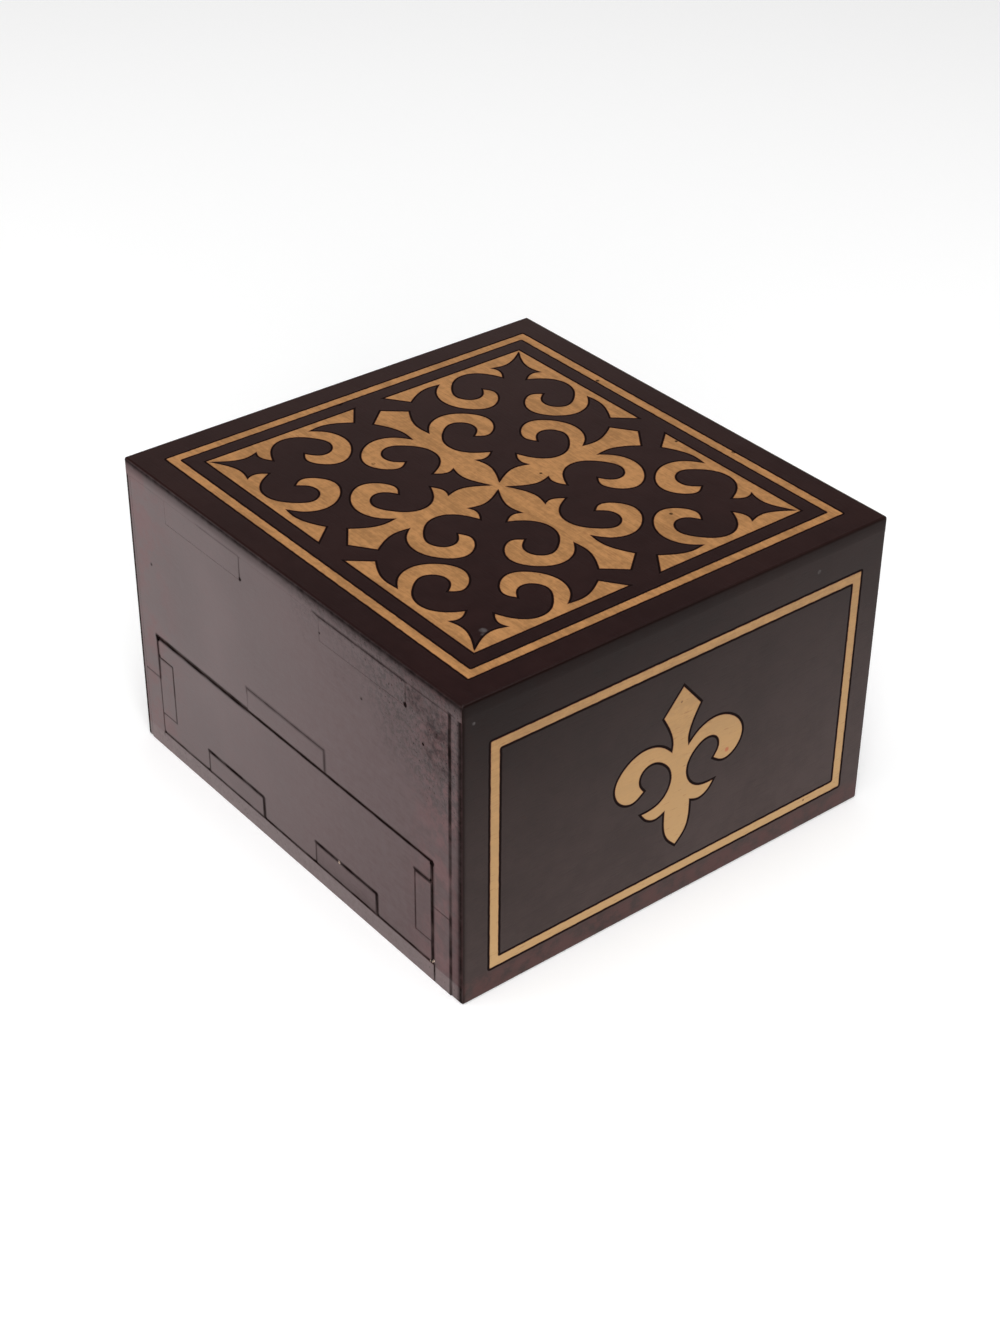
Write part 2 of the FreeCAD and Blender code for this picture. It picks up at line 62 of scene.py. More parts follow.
# Colours of what lies on or under the finishes, and of the darkening near the front's top edge.
SOOT = (0.008, 0.0048, 0.0045)
DUST = (0.24, 0.22, 0.22)
CRUST = (0.014, 0.007, 0.007)
HEAD_DARKENING = (0.03, 0.006, 0.006)
LEDGE_PAINT = (0.15, 0.11, 0.108)
BARE_PLYWOOD = (0.42, 0.31, 0.24)
FLECK = (0.2, 0.075, 0.028)
CHIPPED_WOOD = (0.09, 0.03, 0.014)
RED_STAIN = (0.36, 0.075, 0.03)

# Places in mm between which a finish changes.
FOOT_END = (3.2, 5.6)
LEDGE_END = (3.3, 3.7)
HEAD_START = (57.4, 59.4)
COARSE_START = (64.0, 81.0)
CORNER_WIDE = 1.2


# Every fade below is painted light: a slow painted change of light and shade across a face.
@dataclass(frozen=True)
class PaintedFade:
    """A slow change of tone across the box: its direction, where it runs in mm, and its end."""

    along: tuple[float, float, float]
    start: float
    end: float
    colour: Colour


# ------------------------------------------------------------------ shader maths
class Link:
    """A shader socket that can be used in ordinary arithmetic."""

    def __init__(self, graph: "Graph", socket: bpy.types.NodeSocket) -> None:
        """Keep the socket and the graph that it belongs to."""
        self.graph = graph
        self.socket = socket

    def _math(self, operation: str, first: "Term", second: "Term") -> "Link":
        """One Math node.

        Args:
            operation: the node's operation.
            first: its first value.
            second: its second value.

        Returns:
            The result as a link.
        """
        return self.graph.make("ShaderNodeMath", {"operation": operation}, {0: first, 1: second})

    def __add__(self, other: "Term") -> "Link":
        """self + other."""
        return self._math("ADD", self, other)

    __radd__ = __add__

    def __mul__(self, other: "Term") -> "Link":
        """self * other."""
        return self._math("MULTIPLY", self, other)

    __rmul__ = __mul__

    def __sub__(self, other: "Term") -> "Link":
        """self - other."""
        return self._math("SUBTRACT", self, other)

    def __rsub__(self, other: "Term") -> "Link":
        """other - self."""
        return self._math("SUBTRACT", other, self)

    def __truediv__(self, other: "Term") -> "Link":
        """self / other."""
        return self._math("DIVIDE", self, other)

    def __pow__(self, other: "Term") -> "Link":
        """self to the power of other."""
        return self._math("POWER", self, other)

    def step(self, low: float, high: float) -> "Link":
        """A smooth step.

        Args:
            low: the value where the step starts.
            high: the value where it ends; below low for a falling step.

        Returns:
            0 before low and 1 after high.
        """
        settings = {"interpolation_type": "SMOOTHSTEP"}
        if low <= high:
            return self.graph.make("ShaderNodeMapRange", settings, {0: self, 1: low, 2: high, 3: 0.0, 4: 1.0})
        return self.graph.make("ShaderNodeMapRange", settings, {0: self, 1: high, 2: low, 3: 1.0, 4: 0.0})


Term = Union[Link, float]


class Graph:
    """The node tree of one material, ending in a Principled shader."""

    def __init__(self, name: str) -> None:
        """Start an empty node material.

        Args:
            name: the material's name.
        """
        self.material = bpy.data.materials.new(name)
        self.material.use_nodes = True
        self.nodes = self.material.node_tree.nodes
        self.links = self.material.node_tree.links
        self.nodes.clear()

    def make(self, kind: str, settings: dict[str, object] | None = None,
             sockets: dict[int | str, object] | None = None,
             output: int | str | None = 0) -> Link | None:
        """Any node.

        Args:
            kind: the node's type.
            settings: its properties, set first.
            sockets: the values or links of its inputs, by number or name.
            output: the output that is wanted, or None for a node that has none.

        Returns:
            That output as a link.
        """
        node = self.nodes.new(kind)
        for key, value in (settings or {}).items():
            setattr(node, key, value)
        for key, value in (sockets or {}).items():
            self.feed(node.inputs[key], value)
        return None if output is None else Link(self, node.outputs[output])

    def feed(self, socket: bpy.types.NodeSocket, value: object) -> None:
        """Give an input its link, number, vector or colour.

        Args:
            socket: the input.
            value: a Link, a number, or three numbers.
        """
        if isinstance(value, Link):
            self.links.new(value.socket, socket)
        elif isinstance(value, tuple) and socket.type == "RGBA":
            socket.default_value = (*value, 1.0)
        else:
            socket.default_value = value

    def place(self, scale: tuple[float, float, float] = (1.0, 1.0, 1.0)) -> Link:
        """Object coordinates, stretched.

        Args:
            scale: a factor for each axis.

        Returns:
            The vector.
        """
        vector = self.make("ShaderNodeTexCoord", output="Object")
        return self.make("ShaderNodeVectorMath", {"operation": "MULTIPLY"}, {0: vector, 1: scale})

    def axis(self, vector: Link, name: str) -> Link:
        """One part of a place, X, Y or Z, in millimetres."""
        return self.make("ShaderNodeSeparateXYZ", {}, {0: vector}, name) / MM

    def noise(self, vector: Link, size: float, detail: float = 3.0, roughness: float = 0.5) -> Link:
        """Fractal noise from 0 to 1.

        Args:
            vector: where it is read, in metres.
            size: how large its features are, in millimetres.
            detail: its octaves.
            roughness: how strong each finer octave is.

        Returns:
            The value.
        """
        return self.make("ShaderNodeTexNoise", {"noise_dimensions": "3D"},
                         {"Vector": vector, "Scale": 1.0 / (size * MM), "Detail": detail,
                          "Roughness": roughness})

    def specks(self, vector: Link, spacing: float, radius: float, share: float) -> Link:
        """Small scattered dots: 1 inside a dot and 0 elsewhere.

        Args:
            vector: where they are read, in metres.
            spacing: the size of the cells that may hold a dot, in millimetres.
            radius: the dots' radius in millimetres.
            share: the share of the cells that hold one.

        Returns:
            The mask.
        """
        settings = {"voronoi_dimensions": "3D", "feature": "F1"}
        sockets = {"Vector": vector, "Scale": 1.0 / (spacing * MM)}
        near = self.make("ShaderNodeTexVoronoi", settings, sockets, "Distance")
        cell = self.make("ShaderNodeTexVoronoi", settings, sockets, "Color")
        pick = self.make("ShaderNodeSeparateColor", {}, {0: cell}, 0)
        edge = radius / spacing
        return near.step(edge, edge * 0.55) * pick.step(share, share * 0.96)

    def spot(self, vector: Link, middle: tuple[float, float, float], radius: float) -> Link:
        """One small mark: 1 at its middle and 0 outside it.

        Args:
            vector: where it is read, in metres.
            middle: its middle in millimetres.
            radius: its radius in millimetres.

        Returns:
            The mask.
        """
        away = self.make("ShaderNodeVectorMath", {"operation": "DISTANCE"},
                         {0: vector, 1: tuple(part * MM for part in middle)}, "Value")
        return away.step(radius * MM, radius * 0.45 * MM)

    def marked(self, mask: Term, vector: Link, marks: Sequence[Mark], strength: Term = 1.0) -> Term:
        """A mask with small marks added to it.

        Args:
            mask: the mask.
            vector: where it is read, in metres.
            marks: the marks, as (x, y, z, radius) in millimetres.
            strength: what every mark adds at its middle.

        Returns:
            The mask.
        """
        for *middle, radius in marks:
            mask = mask + self.spot(vector, tuple(middle), radius) * strength
        return mask

    def attribute(self, name: str) -> Link:
        """A number stored on the mesh.

        Args:
            name: the attribute's name.

        Returns:
            The value.
        """
        return self.make("ShaderNodeAttribute", {"attribute_name": name}, output="Fac")

    def mix(self, amount: Term, first: Link | Colour, second: Link | Colour) -> Link:
        """A blend of two colours.

        Args:
            amount: 0 for the first colour, 1 for the second.
            first: a colour.
            second: a colour.

        Returns:
            The blend.
        """
        node = self.nodes.new("ShaderNodeMix")
        node.data_type = "RGBA"
        self.feed(node.inputs[0], amount)
        self.feed(node.inputs[6], first)
        self.feed(node.inputs[7], second)
        return Link(self, node.outputs[2])

    def faded(self, colour: Link, painted_fade: PaintedFade | None, tone: Link) -> Link:
        """A colour that turns slowly into another one across the box.

        Args:
            colour: the colour.
            painted_fade: the change, or None.
            tone: a pattern from 0 to 1 that makes the change uneven.

        Returns:
            The colour.
        """
        if painted_fade is None:
            return colour
        along = self.make("ShaderNodeVectorMath", {"operation": "DOT_PRODUCT"},
                          {0: self.place(), 1: painted_fade.along}, "Value")
        share = self.make("ShaderNodeMapRange", {}, {0: along, 1: painted_fade.start * MM, 2: painted_fade.end * MM})
        return self.mix(share * (tone * 0.3 + 0.85), colour, painted_fade.colour)

    def bump(self, height: Link, depth: float) -> Link:
        """A normal from a height.

        Args:
            height: from 0 to 1.
            depth: how many millimetres 1 stands above 0.

        Returns:
            The normal.
        """
        return self.make("ShaderNodeBump", {}, {"Distance": depth * MM, "Height": height})

    def principled(self, burnt: Link | None = None, **sockets: object) -> bpy.types.Material:
        """The shader and the material's output.

        Args:
            burnt: where the finish is burnt away to matt black, from 0 to 1.
            **sockets: Principled inputs, with underscores for spaces.

        Returns:
            The finished material.
        """
        named = {key.replace("_", " "): value for key, value in sockets.items()}
        shader = self.make("ShaderNodeBsdfPrincipled", {}, named)
        if burnt is not None:
            soot = self.make("ShaderNodeBsdfPrincipled", {}, {
                "Base Color": SOOT, "Roughness": 0.95, "Specular IOR Level": 0.0})
            shader = self.make("ShaderNodeMixShader", {}, {0: burnt, 1: shader, 2: soot})
        self.make("ShaderNodeOutputMaterial", {}, {"Surface": shader}, None)
        return self.material


# ------------------------------------------------------------------ finishes
@dataclass(frozen=True)
class Lacquer:
    """Dark brown satin lacquer on plywood, charred black along laser cuts.

    The attribute char is 1 at a cut, and seam is the darkness of a joint.  On a rounded outer edge
    another attribute is 1: there the lacquer is darkened partly by the burnt wood that shows
    through and partly as painted shade, the dark reflection of the rounding.  Marks are
    (x, y, z, radius).  Corner is how dark the lacquer is at its front end, and foot how much red
    wood shows low down.
    """

    name: str
    deep: Colour
    warm: Colour
    grain: tuple[float, float, float]
    roughness: float = 0.36
    gloss: float = 0.3
    painted_fade: PaintedFade | None = None
    peel: float = 0.012
    dust: float = 0.06
    corner: float = 0.0
    foot: float = 0.0
    red: Colour = (0.085, 0.034, 0.031)
    pale_marks: tuple[Mark, ...] = ()
    dark_marks: tuple[Mark, ...] = ()

    def material(self) -> bpy.types.Material:
        """The node material."""
        g = Graph(self.name)
        here = g.place()
        clouds = g.noise(here, 14.0, 2.0)
        mottle = g.noise(here, 2.6, 4.0, 0.6)
        pores = g.noise(g.place(self.grain), 0.5, 3.0, 0.65)
        fine = g.noise(here, 0.35, 2.0)
        tone = (clouds * 0.45 + mottle * 0.35 + pores * 0.2).step(0.38, 0.64)
        # Painted light: the fade, where one is given, paints a slow change of light and shade over the face.
        colour = g.faded(g.mix(tone, self.deep, self.warm), self.painted_fade, tone)
        dust = g.specks(here, 5.5, 0.16, self.dust)
        dust = g.marked(dust, here, self.pale_marks, mottle.step(0.3, 0.6) * 0.5)
        colour = g.mix(dust * 0.6, colour, DUST)
        foot = (1.0 - g.axis(here, "Z").step(*FOOT_END)) * self.foot
        colour = g.mix(foot * mottle.step(0.3, 0.6), colour, self.red)
        # Rounded edges: darkened partly as burnt wood, partly as painted shade of the rounding.
        edge = g.attribute("wear_and_shade") ** 0.4 * (mottle * 0.2 + 0.36)
        corner = (1.0 - g.axis(here, "Y").step(FRONT_FACE, FRONT_FACE + CORNER_WIDE)) * self.corner
        seam = g.attribute("seam") * (mottle * 0.5 + 0.75)
        cut = (g.attribute("char") + (mottle - 0.5) * 0.25).step(0.36, 0.72)
        burnt = 1.0 - (1.0 - cut * 0.92) * (1.0 - edge) * (1.0 - seam) * (1.0 - corner)
        burnt = g.marked(burnt, here, self.dark_marks)
        rough = self.roughness + (mottle - 0.5) * 0.12 + (fine - 0.5) * 0.1
        height = fine * 0.55 + pores.step(0.3, 0.5) * 0.6 + mottle * 0.8 - cut * 0.6
        return g.principled(burnt, Base_Color=colour, Roughness=rough,
                            Normal=g.bump(height, self.peel), Specular_IOR_Level=self.gloss)


@dataclass(frozen=True)
class BrushedPaint:
    """Thicker satin paint over the joints of the plywood, greyer, with brush grain and pinholes.

    Its light grey tone is partly a painted sheen, and it turns darker towards the right as painted
    shade.  It is coarse in the upper right corner, and reddish wood shows through it near both
    sides, from red_side mm off the middle.  Marks are (x, y, z, radius): shades are soft darker
    patches, chips show bare wood, and dark_marks are dents.
    """

    name: str
    deep: Colour
    warm: Colour
    grain: tuple[float, float, float]
    painted_fade: PaintedFade
    roughness: float = 0.42
    gloss: float = 0.35
    peel: float = 0.02
    red: Colour = (0.115, 0.035, 0.036)
    red_side: float = 44.0
    shades: tuple[Mark, ...] = ()
    chips: tuple[Mark, ...] = ()
    dark_marks: tuple[Mark, ...] = ()

    def material(self) -> bpy.types.Material:
        """The node material."""
        g = Graph(self.name)
        here = g.place()
        clouds = g.noise(here, 18.0, 2.0)
        mottle = g.noise(here, 1.8, 4.0, 0.62)
        brush = g.noise(g.place(self.grain), 0.45, 3.0, 0.6)
        fine = g.noise(here, 0.28, 2.0)
        x, z = g.axis(here, "X"), g.axis(here, "Z")
        ledge = 1.0 - z.step(*LEDGE_END)
        coarse = (x * 0.6 + z * 0.9 + clouds * 26.0).step(*COARSE_START) + ledge * 0.5
        holes = g.specks(here, 0.9, 0.17, 0.45) * (coarse * 0.9 + 0.1)
        crust = g.noise(here, 1.0, 4.0, 0.75).step(0.43, 0.59) * coarse
        tone = (clouds * 0.45 + mottle * 0.3 + brush * 0.25).step(0.38, 0.64)
        # Painted shade: the fade darkens the paint towards the right.
        colour = g.faded(g.mix(tone, self.deep, self.warm), self.painted_fade, tone)
        side = g.make("ShaderNodeMath", {"operation": "ABSOLUTE"}, {0: x})
        blush = side.step(self.red_side - 12.0, self.red_side + 1.0)
        blush = blush * g.noise(here, 5.0, 4.0, 0.7).step(0.42, 0.6)
        colour = g.mix(blush * 0.45, colour, self.red)
        colour = g.mix(crust * 0.55, colour, CRUST)
        # Darker and redder near the top edge of the front.
        colour = g.mix(z.step(*HEAD_START) * 0.2, colour, HEAD_DARKENING)
        colour = g.mix(ledge * 0.6, colour, LEDGE_PAINT)
        shade = g.marked(crust * 0.14, here, self.shades, mottle.step(0.2, 0.7) * 0.38)
        # Rounded edges: darkened partly as burnt wood, partly as painted shade of the rounding.
        edge = g.attribute("wear_and_shade") * (mottle * 0.5 + 0.6)
        seam = g.attribute("seam") * (mottle * 0.5 + 0.75)
        cut = (g.attribute("char") + (mottle - 0.5) * 0.3).step(0.4, 0.7)
        bare = g.marked(0.0, here, self.chips)
        colour = g.mix(bare, colour, BARE_PLYWOOD)
        burnt = 1.0 - (1.0 - cut) * (1.0 - edge * 1.08) * (1.0 - seam) * (1.0 - holes * 0.7)
        burnt = 1.0 - (1.0 - burnt * (1.0 - bare)) * (1.0 - shade)
        burnt = g.marked(burnt, here, self.dark_marks, mottle.step(0.3, 0.5) * 0.8)
        rough = self.roughness + (mottle - 0.5) * 0.16 + (brush - 0.5) * 0.12
        height = fine * 0.4 + brush * 0.5 + mottle * 0.9 - holes * 1.2 - crust * 0.8
        return g.principled(burnt, Base_Color=colour, Roughness=rough,
                            Normal=g.bump(height, self.peel), Specular_IOR_Level=self.gloss)


@dataclass(frozen=True)
class InlayWood:
    """Pale reddish-gold wood under a clear coat, scorched dark along its laser-cut rim."""

    name: str
    light: Colour
    dark: Colour
    grain: tuple[float, float, float]
    roughness: float = 0.42
    gloss: float = 0.25
    painted_fade: PaintedFade | None = None
    fringe: Colour = (0.11, 0.032, 0.016)
    red_marks: tuple[Mark, ...] = ()
    dark_marks: tuple[Mark, ...] = ()

    def material(self) -> bpy.types.Material:
        """The node material."""
        g = Graph(self.name)
        here = g.place()
        along = g.place(self.grain)
        figure = g.noise(along, 2.4, 3.0, 0.55)
        streak = g.noise(along, 0.45, 3.0, 0.7)
        mottle = g.noise(here, 1.1, 3.0, 0.6)
        blotch = g.noise(here, 7.0, 2.0)
        tone = (figure * 0.3 + streak * 0.3 + mottle * 0.28 + blotch * 0.12).step(0.4, 0.6)
        # Painted light: the fade, where one is given, paints a slow change of light and shade over the wood.
        colour = g.faded(g.mix(tone, self.light, self.dark), self.painted_fade, tone)
        flecks = g.noise(along, 0.3, 2.0, 0.5).step(0.62, 0.76)
        colour = g.mix(flecks * 0.45, colour, FLECK)
        chips = g.specks(here, 4.5, 0.32, 0.14) * mottle.step(0.35, 0.6)
        colour = g.mix(chips * 0.85, colour, CHIPPED_WOOD)
        colour = g.mix(g.marked(0.0, here, self.red_marks, 0.8), colour, RED_STAIN)
        char = g.attribute("char") + (mottle - 0.5) * 0.3 + (streak - 0.5) * 0.2
        colour = g.mix(char.step(0.12, 0.7), colour, self.fringe)
        burnt = g.marked(char.step(0.6, 1.0), here, self.dark_marks, mottle.step(0.25, 0.5) * 0.9)
        rough = self.roughness + (streak - 0.5) * 0.14
        height = streak * 0.6 + mottle * 0.4 - chips * 0.8 - burnt * 0.8
        return g.principled(burnt, Base_Color=colour, Roughness=rough, Normal=g.bump(height, 0.012),
                            Specular_IOR_Level=self.gloss)


@dataclass(frozen=True)
class DullSteel:
    """Plain cold-rolled steel, lightly oxidised, with fine rolling marks."""

    name: str = "dull_steel"
    bright: Colour = (0.42, 0.41, 0.4)
    dark: Colour = (0.2, 0.18, 0.17)

    def material(self) -> bpy.types.Material:
        """The node material."""
        g = Graph(self.name)
        rolled = g.noise(g.place((6.0, 0.3, 6.0)), 0.6, 3.0, 0.6)
        stain = g.noise(g.place(), 3.0, 4.0, 0.6)
        colour = g.mix(stain.step(0.4, 0.66), self.bright, self.dark)
        rough = 0.34 + rolled * 0.16 + stain.step(0.5, 0.7) * 0.15
        return g.principled(Base_Color=colour, Metallic=1.0, Roughness=rough,
                            Normal=g.bump(rolled, 0.006))


@dataclass(frozen=True)
class PalePaper:
    """The plain pale surface that the box stands on, lit a little from below."""

    name: str = "pale_paper"
    tone: Colour = (0.95, 0.95, 0.95)
    glow: float = 0.15

    def material(self) -> bpy.types.Material:
        """The node material."""
        g = Graph(self.name)
        fibre = g.noise(g.place(), 1.5, 3.0)
        return g.principled(Base_Color=self.tone, Roughness=0.9, Normal=g.bump(fibre, 0.01),
                            Emission_Color=self.tone, Emission_Strength=self.glow)


# ------------------------------------------------------------------ outlines
SHARPEST = 0.22          # smallest divisor at a sharp corner
PARALLEL = 1e-6          # edges whose product is below this never cross
REPEATED = 1e-4          # mm between points that count as one
SEAM_BLUR = 0.2          # mm over which a joint's darkness ends
SEAM_WAVELENGTH = 7.3    # mm between its darker stretches


def smooth_curve(points: np.ndarray, step: float) -> np.ndarray:
    """A natural cubic spline through points.

    With a and b the shares of the span that lie after and before a place, the curve is
    a P0 + b P1 + ((a^3 - a) M0 + (b^3 - b) M1) L^2 / 6.  The bends M solve the usual
    three-term system, and are zero at both ends, so two points give a straight line.

    Args:
        points: (n, 2) points in order.
        step: the wanted spacing along the curve.

    Returns:
        (m, 2) points, both ends included.
    """
    span = np.linalg.norm(np.diff(points, axis=0), axis=1)
    reach = np.concatenate([[0.0], np.cumsum(span)])
    count = len(points)
    inner = np.arange(1, count - 1)
    system = np.eye(count)
    system[inner, inner - 1] = span[:-1]
    system[inner, inner] = 2.0 * (span[:-1] + span[1:])
    system[inner, inner + 1] = span[1:]
    turn = np.zeros((count, 2))
    turn[1:-1] = 6.0 * np.diff(np.diff(points, axis=0) / span[:, None], axis=0)
    bend = np.linalg.solve(system, turn)
    at = np.linspace(0.0, reach[-1], max(2, math.ceil(reach[-1] / step) + 1))
    k = np.clip(np.searchsorted(reach, at, side="right") - 1, 0, count - 2)
    a = ((reach[k + 1] - at) / span[k])[:, None]
    b = 1.0 - a
    arch = ((a ** 3 - a) * bend[k] + (b ** 3 - b) * bend[k + 1]) * span[k][:, None] ** 2 / 6.0
    return a * points[k] + b * points[k + 1] + arch


def rectangle(low: Sequence[float], high: Sequence[float]) -> np.ndarray:
    """The four corners of a rectangle, anticlockwise."""
    return np.array([(low[0], low[1]), (high[0], low[1]), (high[0], high[1]), (low[0], high[1])], float)


def tabs(middles: Sequence[float], half: float, edge: float, tip: float) -> list[tuple[float, float]]:
    """The corners of square tabs, or notches, along a level edge.

    Args:
        middles: their middles, in the order in which the outline runs.
        half: half of their width; negative where the outline runs from right to left.
        edge: where the edge lies.
        tip: where they end.

    Returns:
        Four corners for each.
    """
    return [corner for middle in middles
            for corner in ((middle - half, edge), (middle - half, tip), (middle + half, tip),
                           (middle + half, edge))]


def circle(middle: Sequence[float], radius: float, count: int = 32) -> np.ndarray:
    """Points of a circle, anticlockwise: the middle plus radius times (cos a, sin a)."""
    angle = np.linspace(0.0, 2.0 * np.pi, count, endpoint=False)
    return np.array(middle) + radius * np.stack([np.cos(angle), np.sin(angle)], 1)


def softened(outline: np.ndarray, radius: float | np.ndarray, steps: int = 3,
             flanks: Sequence[float] = ()) -> np.ndarray:
    """A polygon with its corners turned into short arcs.

    Each corner C becomes a quadratic curve from C + r toward the last point to C + r toward
    the next one, with C as its control point: (1-s)^2 A + 2 s (1-s) C + s^2 B.

    Args:
        outline: (n, 2) corners.
        radius: how far the curve starts from its corner, or that for every corner.
        steps: the spans of each curve.
        flanks: the distances before and after each curve at which more points are set.

    Returns:
        (n * (steps + 1 + 2 * flanks), 2) points.
    """
    back = np.roll(outline, 1, axis=0) - outline
    ahead = np.roll(outline, -1, axis=0) - outline
    back /= np.linalg.norm(back, axis=1)[:, None]
    ahead /= np.linalg.norm(ahead, axis=1)[:, None]
    reach = np.broadcast_to(radius, len(outline))[:, None]
    start, end = outline + back * reach, outline + ahead * reach
    s = np.linspace(0.0, 1.0, steps + 1)[None, :, None]
    curve = (1 - s) ** 2 * start[:, None] + 2 * s * (1 - s) * outline[:, None] + s ** 2 * end[:, None]
    extra = np.array(sorted(flanks))[None, :, None]
    before = start[:, None] + back[:, None] * extra[:, ::-1]
    after = end[:, None] + ahead[:, None] * extra
    return np.concatenate([before, curve, after], axis=1).reshape(-1, 2)


def inset(outline: np.ndarray, distance: float) -> np.ndarray:
    """An outline moved inwards, every edge by the same distance.

    A corner moves along the sum of its edges' inward normals over 1 plus their product,
    which keeps both edges parallel; very sharp corners are held back.

    Args:
        outline: (n, 2) points, anticlockwise.
        distance: how far; negative moves it outwards.

    Returns:
        (n, 2) points.
    """
    edge = np.roll(outline, -1, axis=0) - outline
    edge /= np.linalg.norm(edge, axis=1)[:, None]
    inward = np.stack([-edge[:, 1], edge[:, 0]], 1)
    before = np.roll(inward, 1, axis=0)
    share = np.maximum(1.0 + np.sum(inward * before, axis=1), SHARPEST)
    return untangled(outline + distance * (inward + before) / share[:, None])


def untangled(outline: np.ndarray, window: int = 48) -> np.ndarray:
    """An outline whose small loops are drawn together.

    Two edges A + s D and B + t E cross where both s and t lie between 0 and 1, with
    s = (B - A) x E / (D x E) and t = (B - A) x D / (D x E); parallel edges never do.
    Every point between two crossing edges moves onto their crossing, so the number of
    points stays the same.

    Args:
        outline: (n, 2) points of a closed outline.
        window: how many edges ahead are searched.

    Returns:
        (n, 2) points.
    """
    count = len(outline)
    window = min(window, count // 2 - 1)
    if window < 2:
        return outline
    first = np.arange(count)[:, None]
    other = (first + np.arange(2, window + 1)) % count
    run = np.roll(outline, -1, axis=0) - outline
    apart = outline[other] - outline[first]
    d, e = run[first], run[other]
    turn = d[..., 0] * e[..., 1] - d[..., 1] * e[..., 0]
    level = np.abs(turn) < PARALLEL
    turn = np.where(level, 1.0, turn)
    s = (apart[..., 0] * e[..., 1] - apart[..., 1] * e[..., 0]) / turn
    t = (apart[..., 0] * d[..., 1] - apart[..., 1] * d[..., 0]) / turn
    crossing = ~level & (s > 0) & (s < 1) & (t > 0) & (t < 1)
    starts, spans = np.nonzero(crossing)
    result = outline.copy()
    moved = np.zeros(count, bool)
    for k in np.argsort(-spans, kind="stable"):
        start, span = starts[k], spans[k] + 2
        loop = (start + 1 + np.arange(span)) % count
        if not moved[loop].any():
            result[loop] = outline[start] + s[start, spans[k]] * run[start]
            moved[loop] = True
    return result


def resampled(outline: np.ndarray, step: float) -> np.ndarray:
    """A closed outline with every edge divided evenly into spans of at most one step."""
    ahead = np.roll(outline, -1, axis=0)
    spans = np.maximum(1, np.ceil(np.linalg.norm(ahead - outline, axis=1) / step)).astype(int)
    owner = np.repeat(np.arange(len(outline)), spans)
    place = np.arange(len(owner)) - np.repeat(np.cumsum(spans) - spans, spans)
    share = (place / spans[owner])[:, None]
    return outline[owner] * (1 - share) + ahead[owner] * share


def ripple(points: np.ndarray, wavelength: float) -> np.ndarray:
    """A smooth irregular value from -1 to 1 at each point: a sum of three crossed sine waves."""
    x, y = (points * (2 * np.pi / wavelength)).T
    waves = (np.sin(x + 0.7 * y) + 0.8 * np.sin(0.6 * x - 1.3 * y + 1.9)
             + 0.7 * np.sin(1.7 * x + 2.1 * y + 4.2))
    return waves / 2.5


def hand_cut(outline: np.ndarray, step: float, depth: float, wavelength: float = 3.1) -> np.ndarray:
    """An outline as a saw or sandpaper leaves it: resampled and moved in and out a little.

    Args:
        outline: (n, 2) points, anticlockwise.
        step: the spacing of its points.
        depth: how far it moves at most.
        wavelength: the length of its waves.

    Returns:
        (m, 2) points.
    """
    fine = resampled(outline, step)
    edge = np.roll(fine, -1, axis=0) - np.roll(fine, 1, axis=0)
    edge /= np.linalg.norm(edge, axis=1)[:, None]
    inward = np.stack([-edge[:, 1], edge[:, 0]], 1)
    return fine + inward * (depth * ripple(fine, wavelength))[:, None]


@dataclass(frozen=True)
class Seam:
    """A straight joint on the front, in (x, z): how dark and how wide it shows."""

    start: tuple[float, float]
    end: tuple[float, float]
    dark: float
    width: float


def seam_darkness(seams: Sequence[Seam], places: np.ndarray) -> np.ndarray:
    """The darkness of places on the front that lie along joints.

    It is the joint's own inside the joint, and falls to nothing over the blur at its edges.
    The paint fills a joint unevenly, so it rises and falls along it.

    Args:
        seams: the joints.
        places: (n, 2) points.

    Returns:
        (n,) values from 0 to 1.
    """
    start = np.array([s.start for s in seams], float)
    run = np.array([s.end for s in seams], float) - start
    dark = np.array([s.dark for s in seams])
    half = np.array([s.width for s in seams]) / 2
    share = np.clip(np.sum((places[:, None] - start) * run, axis=2) / np.sum(run ** 2, axis=1), 0, 1)
    foot = start + share[..., None] * run
    away = np.linalg.norm(places[:, None] - foot, axis=2)
    near = np.clip((half + SEAM_BLUR / 2 - away) / SEAM_BLUR, 0.0, 1.0)
    uneven = np.clip(0.9 + 0.25 * ripple(places, SEAM_WAVELENGTH), 0.0, 1.0)
    return np.max(near * dark, axis=1) * uneven


def anticlockwise(outline: np.ndarray) -> np.ndarray:
    """The outline, turned round if it runs clockwise, from the sign of its shoelace area."""
    x, y = outline.T
    area = np.sum(x * np.roll(y, -1) - y * np.roll(x, -1))
    return outline if area > 0 else outline[::-1]


def distinct(outline: np.ndarray) -> np.ndarray:
    """The outline without points that repeat the one before them."""
    return outline[np.linalg.norm(outline - np.roll(outline, 1, axis=0), axis=1) > REPEATED]


def inside(places: np.ndarray, outline: np.ndarray) -> np.ndarray:
    """Which places lie inside an outline, by how many of its edges pass to their right.

    Args:
        places: (m, 2) points.
        outline: (n, 2) points.

    Returns:
        (m,) True inside.
    """
    x, y = places[:, :1], places[:, 1:]
    ax, ay = outline.T
    bx, by = np.roll(outline, -1, axis=0).T
    spans = (ay > y) != (by > y)
    rise = np.where(by == ay, 1.0, by - ay)
    return np.sum(spans & (x < ax + (y - ay) * (bx - ax) / rise), axis=1) % 2 == 1


